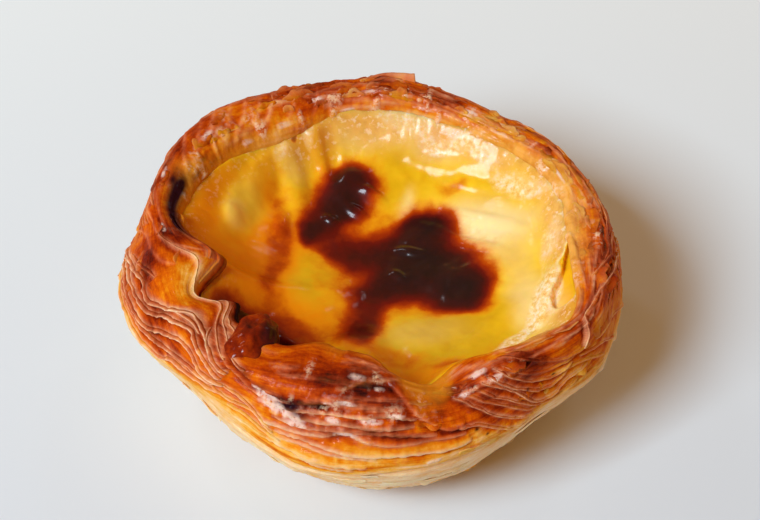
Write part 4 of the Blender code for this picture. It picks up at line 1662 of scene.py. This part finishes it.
@dataclass
class CustardFill:
    """The sunken custard, with its skin's folds and scorched spots.

    Sizes are in metres. Climb share is how far out the skin starts to climb the case, and edge
    share the case's share at which it ends, both uneven round the tart. Drift is how far the
    colours stray from the shapes, and drift size how far apart their strays are.
    """

    form: CaseForm
    finish: CustardFinish
    cells: int = 290
    centre_height: float = 0.0158
    centre_dip: float = 0.0004
    bowl_power: float = 2.2
    climb_share: float = 0.82
    climb_power: float = 1.3
    edge_share: float = 0.885
    edge_ragged: float = 0.012
    above_pastry: float = 0.00012
    pocket_depth: float = 0.0015
    pocket_ragged: float = 0.0007
    wrinkle: float = 0.00022
    fine_wrinkle: float = 0.00006
    edge_crinkle: float = 0.00010
    char_crinkle: float = 0.00016
    foam_bubble: float = 0.00016
    drift: float = 0.0011
    drift_size: float = 0.006
    edge_ring: float = 0.030

    # How the share of its edge changes, lower where it laps further over the rim, and how much
    # nearer the middle its climb starts.
    LAP = each(
        Swell,
        (10, 30, -0.050), (60, 30, -0.055), (105, 24, -0.045), (158, 18, -0.030), (335, 16, -0.030),
    )
    CLIMB = each(Swell, (186, 26, -0.36), (150, 20, -0.10))

    # The burnt spots; those low at the front left, where the lip overhangs, also paint the shade in its
    # crevices black.
    CHAR = each(
        Spot,
        (-3, 20.2, 4.6, 3.6, 20, 0.74), (-6.6, 14.8, 4.8, 2.9, 55, 0.68),
        (-10, 10.8, 2.6, 1.7, 70, 0.60), (-3.2, 15.8, 3.6, 2.8, 30, 0.55),
        (9.2, 12.2, 3.6, 4.2, 90, 0.95), (7.8, 4.6, 8.2, 6.2, -15, 1), (13.6, -1.4, 5.2, 4.6, 0, 1),
        (3, 0.4, 5.2, 3.8, 20, 0.72), (-1.8, 6.8, 4.4, 3.2, 0, 0.52),
        (-1.8, -10.2, 2.6, 3.2, -10, 0.58), (-13.2, -12.6, 3, 1.2, -42, 0.95),
        (-17.5, -14.5, 4.6, 2.4, -42, 0.85), (-9.6, -16, 2.6, 1, -30, 0.80),
    )
    # The brown rims and streaks round them; low at the front left they also paint the shade under the
    # lip darker.
    SCORCH = each(
        Spot,
        (-6.5, 9.5, 5, 3, -10, 0.42), (-0.4, -4.5, 4.6, 2.8, 80, 0.42), (4.5, 4, 13.5, 9.5, -6, 0.34),
        (-5, 16.5, 8, 5.6, 50, 0.24), (-2, -8, 5.6, 4.6, 80, 0.30), (8, 11.5, 5.6, 5.6, 0, 0.22),
        (-11.5, -9.5, 6, 3.4, -30, 0.40), (-16, -11.4, 6, 3.4, -38, 0.62), (-22, -10, 3, 3, 0, 0.45),
        (-15, 8, 12, 2.4, 86, 0.34), (-14, -2, 5, 2.6, 100, 0.20), (-20, -8, 4, 4, 0, 0.24),
        (-6, 17.5, 7.6, 4.4, 50, 0.18), (13.5, 18.5, 2.4, 1.4, 0, 0.26), (3, -16, 10, 2.2, -17, 0.24),
        (12.5, -20, 4, 1.8, -10, 0.24), (-12.1, 25.3, 0.9, 0.6, 60, 0.60),
    )
    # Where the skin has turned orange.
    CARAMEL = each(
        Spot,
        (-15.8, 6, 16, 4.6, 88, 0.95), (-22.5, -1, 9, 5.5, 85, 0.80), (-22, 11, 9, 6, 80, 0.66),
        (-9, 22.5, 3, 5, -20, 0.30), (-26, 8, 12, 3.4, 78, 0.75), (-12, -6, 9, 5, -20, 0.8),
        (-5, -4, 6, 6, 0, 0.25), (-3.5, -15, 8, 4, -15, 0.5), (7.5, -21.5, 8.5, 3.6, -14, 0.75),
        (17, -18.5, 6, 3, 38, 0.35), (12.5, -23, 5.5, 2.6, 28, 0.70), (-5, 12, 8, 4, 20, 0.4),
        (-9, 24, 2.4, 6, -20, 0.35), (29, -5.4, 2, 6, -9, 0.45),
    )
    # Lumps where the skin stayed yellow.
    LUMPS = each(
        Spot,
        (-11.9, 20.5, 6.2, 3.6, 96, 0.95), (-9, 26.5, 2, 3, 10, 0.70),
        (-20.4, 13.4, 5.8, 2.8, 68, 0.92), (-14, 12.4, 2.6, 1.1, 80, 0.35),
    )
    # Where the skin is creamy, with broad reflections at the back right and a small highlight on a left
    # lump painted on as cream.
    PALE_AND_SHEEN = each(
        Spot,
        (16.5, 10.5, 8, 4.4, -18, 1), (21, 7, 5, 7, 20, 0.35), (5.6, 16, 1.6, 2.6, -20, 0.6),
        (12, 25.5, 15, 3, -22, 0.50), (-2, 28, 10, 2.2, 0, 0.40), (-20.2, 13.6, 5, 2.2, 68, 0.08),
        (-12.6, 22.6, 3.2, 2.4, 100, 0.24), (-21.4, 10.9, 1.8, 1.4, 80, 0.20),
        (24.5, -8, 3, 8, 10, 0.55), (7.5, -10.5, 6, 3.6, 5, 0.16),
    )
    # Painted shade: where the lower custard is painted a deeper, duller yellow, as if shaded.
    PAINTED_SHADE_SPOTS = each(
        Spot,
        (8, -10, 9, 6, 5, 0.65), (-8.5, -0.5, 6.5, 6.5, 0, 0.60), (4, -16.5, 13, 3.6, -16, 0.95),
        (17, -15.5, 5, 3, 30, 0.50), (-10.5, -4, 4, 3, 0, 0.50),
    )
    # Where the burnt skin has no shine.
    DULL = each(
        Spot,
        (-19, -14.5, 5, 4, -42, 1), (-2.3, -9.6, 3, 2.4, 0, 1), (8.9, 12.9, 3.4, 1.6, 0, 0.8),
    )
    # Where the edge of the skin has torn open at the right.
    POCKET = each(Spot, (29.9, -3.4, 1.4, 4.6, -8, 1), (28.8, -8, 2.2, 3.2, -14, 1))
    # Where the skin has foamed up and dried to a pale crust of bubbles.
    FOAM = each(
        Spot,
        (25.9, -7.4, 1.8, 5.8, -14, 0.95), (21.5, -14.6, 5, 1.6, 42, 0.9), (27.5, 3, 1.4, 4, -12, 0.6),
        (24, 15.5, 1.8, 6.5, 55, 0.7), (13.5, 23.8, 9, 1.1, -22, 0.7), (6.5, 28, 7, 1.3, -12, 0.6),
        (-9.5, 26.5, 1.3, 2.2, 20, 0.7), (-14.5, 22.5, 2.4, 1.4, 60, 0.5),
    )
    # Mounds and folds of the skin, with heights in millimetres.
    SWELLINGS = each(
        Spot,
        (-8.5, 0.5, 6.4, 6.4, 20, 0.7), (7.5, -10.5, 8, 4.6, 10, 0.7), (8, 4, 9, 7, 0, 0.45),
        (-3, 20, 4.2, 3, 20, 1.2), (-7, 14.4, 5, 2.6, 55, 0.6), (0.3, 18, 2, 1.1, -24, 1),
        (-2.4, 15.4, 1.8, 1, -24, 0.8), (-6.2, 13.6, 1.4, 0.8, -24, 0.6),
        (6.2, 7.2, 2.4, 0.9, -20, 0.5), (4.2, 2.4, 1.3, 0.8, -40, 0.4), (8.6, 10.4, 3, 3.4, 90, 0.5),
        (4.5, 3.2, 4, 2.2, 20, 0.25), (12.5, 0.5, 5, 2.3, -30, 0.25), (13.5, -1.5, 4.6, 4, 0, 0.4),
        (20, 8, 12, 4, 65, 0.7), (-20.3, 13.6, 5.2, 2, 68, 1), (-21.4, 10.8, 1.6, 1.3, 80, 0.5),
        (-14, 12.4, 2.4, 1.1, 80, 0.5), (-17, 20, 6, 2, 80, 0.9), (-12.5, 20.5, 6, 2, 105, 1.2),
        (-9, 26, 3.5, 1.2, 115, 0.9), (-6, 24.5, 4, 1.2, 100, -0.6), (3, 25.5, 5, 1.4, 10, 0.7),
        (12.5, 22, 7, 1.2, -20, 0.8), (16, 18.5, 6, 1, -25, 0.5), (17, 12, 7, 1.2, -30, 0.5),
        (15, 8, 7, 1, -35, 0.4), (26.2, -6.8, 1.2, 5.4, -14, 1.5), (17, -12, 8, 2, 50, 0.6),
        (-13.2, -12.6, 3, 1.1, -42, -1.4),
    )

    # Where the edge of the skin has baked on to the case, and how pale it is.
    CRUST = each(
        Swell,
        (10, 30, 0.8), (60, 30, 0.8), (105, 24, 0.6), (160, 20, 0.2), (335, 18, 0.5),
    )
    TONE = each(
        Swell,
        (0, 26, 0.55), (40, 26, 0.42), (85, 26, 0.46), (125, 14, 0.30), (318, 10, 0.55),
    )

    def disc(self) -> tuple[Array, Array]:
        """Direction and share of the way out for each vertex of a square grid bent into a disc.

        Returns:
            Directions in degrees and shares from 0 to 1.
        """
        side = np.linspace(-1.0, 1.0, self.cells + 1)
        across, along = np.meshgrid(side, side, indexing="xy")
        wide = np.abs(across) > np.abs(along)
        out = np.where(wide, across, along)
        with np.errstate(divide="ignore", invalid="ignore"):
            lean = np.where(wide, along / across, across / along)
        lean = np.nan_to_num(lean) * np.pi / 4
        turn = np.where(wide, lean, np.pi / 2 - lean) + np.where(out < 0, np.pi, 0.0)
        return np.degrees(turn) % FULL_TURN, np.abs(out)

    def edge(self, angle: Array) -> tuple[Array, Array]:
        """Radius and height of the skin's edge, where it has baked on to the case.

        Args:
            angle: directions, in degrees.

        Returns:
            Its radius and its height in each direction.
        """
        flat = angle.reshape(-1)
        ring = round_tart(np.full_like(flat, self.edge_ring), 0 * flat, flat)
        share = swollen(self.edge_share, self.LAP, flat)
        share = share + self.edge_ragged * Grain(35).rough(ring, 0.0032)
        place = self.form.place(flat, share[:, None])[:, 0]
        return place[:, 0].reshape(angle.shape), place[:, 1].reshape(angle.shape) + self.above_pastry

    def height(self, angle: Array, share: Array, lip_height: Array, x: Array, y: Array) -> Array:
        """Height of the skin.

        Args:
            angle: directions, in degrees.
            share: shares of the way from the middle to the edge.
            lip_height: height of the skin's edge in each direction.
            x: places across.
            y: places front to back.

        Returns:
            The height at each place.
        """
        edge_height = self.form.skin_edge(angle)[1]
        bowl = share**self.bowl_power
        start = swollen(self.climb_share, self.CLIMB, angle)
        climbed = smooth_step(0.0, 1.0, (share - start) / (1.0 - start)) ** self.climb_power
        climb = (lip_height - edge_height) * climbed
        grain = Grain(31)
        place = np.stack([x, y, 0 * x], axis=-1)
        wrinkle = self.wrinkle * grain.rough(place, 0.0055) + self.fine_wrinkle * grain(place, 0.0012)
        crinkle = np.abs(grain(place + 0.02, 0.0016))
        crinkle = self.edge_crinkle * crinkle * smooth_step(0.80, 0.95, share)
        charred = covered(self.CHAR, x, y)
        crinkle = crinkle + self.char_crinkle * charred * grain.rough(place + 0.04, 0.0022, 2)
        foam = np.clip(spotted(self.FOAM, x, y), 0.0, 1.0)
        bubbles = np.abs(grain.rough(place * (1.0, 0.6, 1.0) + 0.06, 0.0011, 2))
        crinkle = crinkle + self.foam_bubble * foam * bubbles
        relief = MM * spotted(self.SWELLINGS, x, y)
        bowl_height = self.centre_height - self.centre_dip + (edge_height - self.centre_height) * bowl
        held = 1.0 - smooth_step(0.93, 1.0, share)
        sunk = self.pocket_depth * smooth_step(0.30, 0.65, self.pocket(grain, x, y))
        return bowl_height + climb + wrinkle + crinkle + relief * held - sunk

    def pocket(self, grain: Grain, x: Array, y: Array) -> Array:
        """How far inside the torn pocket each place is.

        Args:
            grain: the noise that makes its rim ragged.
            x: places across.
            y: places front to back.

        Returns:
            0 outside it, and more towards its middle.
        """
        torn = self.pocket_ragged * grain.rough(np.stack([x, y, 0 * x], axis=-1), 0.0022, 2)
        return spotted(self.POCKET, x + torn, y)

    def looks(self, angle: Array, share: Array, x: Array, y: Array) -> dict[str, Array]:
        """The values that the finish reads.

        Args:
            angle: directions, in degrees.
            share: shares of the way from the middle to the edge.
            x: places across.
            y: places front to back.

        Returns:
            The values, by name.
        """
        grain = Grain(33)
        place = np.stack([x, y, 0 * x], axis=-1)
        strayed = (
            x + self.drift * grain.rough(place, self.drift_size),
            y + self.drift * grain.rough(place + 0.05, self.drift_size),
        )
        char = 1.0 - (1.0 - covered(self.CHAR, *strayed)) * (1.0 - covered(self.SCORCH, *strayed))
        pocket = self.pocket(grain, x, y)
        caramel = covered(self.CARAMEL, *strayed) * (1.0 - covered(self.LUMPS, *strayed))
        caramel = caramel * (1.0 - smooth_step(0.1, 0.4, pocket))
        hem = smooth_step(0.04, 0.20, pocket) * smooth_step(0.62, 0.40, pocket)
        ragged = share + 0.05 * grain.rough(place + 0.02, 0.0045)
        crust = smooth_step(0.82, 0.97, ragged) * np.clip(swollen(0.10, self.CRUST, angle), 0.0, 1.0)
        crust = crust * (1.0 - smooth_step(0.2, 0.5, pocket))
        return {
            "char": char,
            "caramel": np.maximum(caramel, 0.32 * smooth_step(0.4, 0.7, pocket)),
            "pale": np.maximum(covered(self.PALE_AND_SHEEN, *strayed), 0.9 * hem),
            "crust": crust * (1.0 - char),
            "tone": np.clip(swollen(0.15, self.TONE, angle), 0.0, 1.0),
            "foam": covered(self.FOAM, *strayed),
            "painted_shade": covered(self.PAINTED_SHADE_SPOTS, *strayed),
            "dull": covered(self.DULL, x, y),
        }

    def build(self) -> list[bpy.types.Object]:
        """Makes the custard.

        Returns:
            The custard piece.
        """
        deselect()
        bpy.ops.mesh.primitive_grid_add(
            x_subdivisions=self.cells, y_subdivisions=self.cells, size=GRID_SIDE
        )
        piece = bpy.context.object
        piece.name = "custard_fill"
        angle, share = self.disc()
        radius, lip_height = self.edge(angle)
        turn = np.radians(angle)
        x, y = radius * share * np.cos(turn), radius * share * np.sin(turn)
        z = self.height(angle, share, lip_height, x, y)
        sculpt(piece, np.stack([x, y, z], axis=-1))
        paint(piece, self.looks(angle, share, x, y))
        self.close_below(piece)
        bpy.ops.object.shade_smooth()
        piece.data.materials.append(self.finish.material())
        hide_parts("custard")
        return [piece]

    def close_below(self, piece: bpy.types.Object) -> None:
        """Draws the edge of the skin down and closes it underneath."""
        bpy.ops.object.mode_set(mode="EDIT")
        bpy.ops.mesh.select_all(action="SELECT")
        bpy.ops.mesh.region_to_loop()
        for drop in (-0.0030, -0.0100):
            bpy.ops.mesh.extrude_edges_move(TRANSFORM_OT_translate={"value": (0.0, 0.0, drop)})
        bpy.ops.transform.resize(value=(0.72, 0.72, 0.2), center_override=(0.0, 0.0, 0.006))
        bpy.ops.mesh.edge_face_add()
        bpy.ops.object.mode_set(mode="OBJECT")


class Lamp(NamedTuple):
    """A soft square light: its name, place, side, power in watts and colour."""

    name: str
    place: tuple[float, float, float]
    size: float
    power: float
    colour: str


@dataclass
class Studio:
    """The pale floor, painted darker in front and lighter behind as light falling off, the soft lights
    and the camera.

    The camera stands at an elevation in degrees and a distance from the middle, and looks at aim.
    """

    floor_radius: float = 1.2
    # Painted light: the floor's colour in front, darker, and behind, lighter.
    floor_near_shade: str = "#D6DEE4"
    floor_far_lit: str = "#F4FEFF"
    room: str = "#FFBE78"
    room_strength: float = 0.34
    elevation: float = 46.0
    distance: float = 0.278
    lens: float = 85.0
    aim: tuple[float, float, float] = (0.0014, 0.0046, 0.0174)
    middle: tuple[float, float, float] = (0.0, 0.0, 0.013)
    sensor: float = 36.0
    nearest: float = 0.01

    LAMPS = [
        Lamp("window", (-0.71, -0.64, 0.90), 0.52, 20.2, "#DDF0FF"),
        Lamp("overhead", (-0.44, 0.40, 0.56), 0.10, 0.26, "#EEF6FF"),
        Lamp("side_lamp", (0.30, 0.45, 0.55), 0.12, 0.14, "#EEF6FF"),
    ]

    def floor(self) -> bpy.types.Object:
        """The pale floor, painted darker in front and lighter behind as light falling off.

        Returns:
            The floor, marked as stage.
        """
        deselect()
        bpy.ops.mesh.primitive_circle_add(vertices=96, radius=self.floor_radius, fill_type="NGON")
        floor = bpy.context.object
        floor.name = "pale_floor"
        shade = Shade("pale_table")
        split = shade.tree.nodes.new("ShaderNodeSeparateXYZ")
        shade.link(shade.object_place, split.inputs[0])
        # Painted light: darker in front and lighter behind.
        painted_falloff = shade.spread(split.outputs["Y"], -0.06, 0.12)
        shade.set(Base_Color=shade.mix(painted_falloff, self.floor_near_shade, self.floor_far_lit), Roughness=0.6)
        floor.data.materials.append(shade.material)
        return floor

    def light(self, lamp: Lamp) -> None:
        """Adds one soft light that faces the tart.

        Args:
            lamp: what it is and where it stands.
        """
        bpy.ops.object.light_add(type="AREA", location=lamp.place)
        light = bpy.context.object
        light.name = lamp.name
        light.data.size = lamp.size
        light.data.energy = lamp.power
        light.data.color = shade_of(lamp.colour)[:3]
        towards = Vector(self.middle) - Vector(lamp.place)
        light.rotation_euler = towards.to_track_quat("-Z", "Y").to_euler()

    def camera(self) -> None:
        """Sets the camera."""
        lift = math.radians(self.elevation)
        back = Vector((0.0, -math.cos(lift), math.sin(lift))) * self.distance
        bpy.ops.object.camera_add(location=Vector(self.middle) + back)
        camera = bpy.context.object
        camera.data.lens = self.lens
        camera.data.sensor_width = self.sensor
        camera.data.clip_start = self.nearest
        camera.rotation_euler = (Vector(self.aim) - camera.location).to_track_quat("-Z", "Y").to_euler()
        bpy.context.scene.camera = camera

    def build(self) -> None:
        """Sets the floor, the lights, the surrounding light and the camera."""
        self.floor()
        for lamp in self.LAMPS:
            self.light(lamp)
        self.camera()
        world = bpy.data.worlds.new("soft_room")
        world.use_nodes = True
        background = world.node_tree.nodes["Background"]
        background.inputs["Color"].default_value = shade_of(self.room)
        background.inputs["Strength"].default_value = self.room_strength
        bpy.context.scene.world = world
        bpy.context.scene.view_settings.view_transform = "Standard"


def main() -> None:
    """Builds the tart around the frame and sets the studio."""
    logging.basicConfig(level=logging.INFO, format="%(name)s: %(message)s")
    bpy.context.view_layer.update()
    form = CaseForm()
    leaves = Leaves(form)
    case = PastryCase(form, leaves, PastryFinish())
    # Only edges that stand clear, and rise far enough to be seen doing so, have free tips.
    standing = [pair for pair in leaves.edges if pair[0].stand > 0 and pair[0].rise > 0.30]
    tips = LeafTips(form, leaves, case, "leaf_edges", standing)
    flakes = LeafTips(
        form, leaves, case, "crust_flakes", leaves.flakes(),
        thickness=0.00005, reach=1.0, root=0.0005, droop=74.0, sink=0.00004, vary=0.06,
    )
    tall = (CREST_FLAKE, leaves.course(CREST_FLAKE, CREST_FLAKE_WAVER))
    crest = LeafTips(
        form, leaves, case, "crest_flake", [tall],
        thickness=0.00022, reach=1.25, root=0.0010, droop=-38.0, sink=0.0002, wedge=True,
    )
    filling = CustardFill(form, CustardFinish())
    pieces: list[bpy.types.Object] = []
    for part in (case, tips, flakes, crest, BurntBubble(case), filling):
        made = part.build()
        pieces.extend(made)
        for piece in made:
            LOG.info("%s: %s has %d faces", type(part).__name__, piece.name, len(piece.data.polygons))
    for piece in pieces:
        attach(piece, BODY)
    Studio().build()


if __name__ == "__main__":
    main()
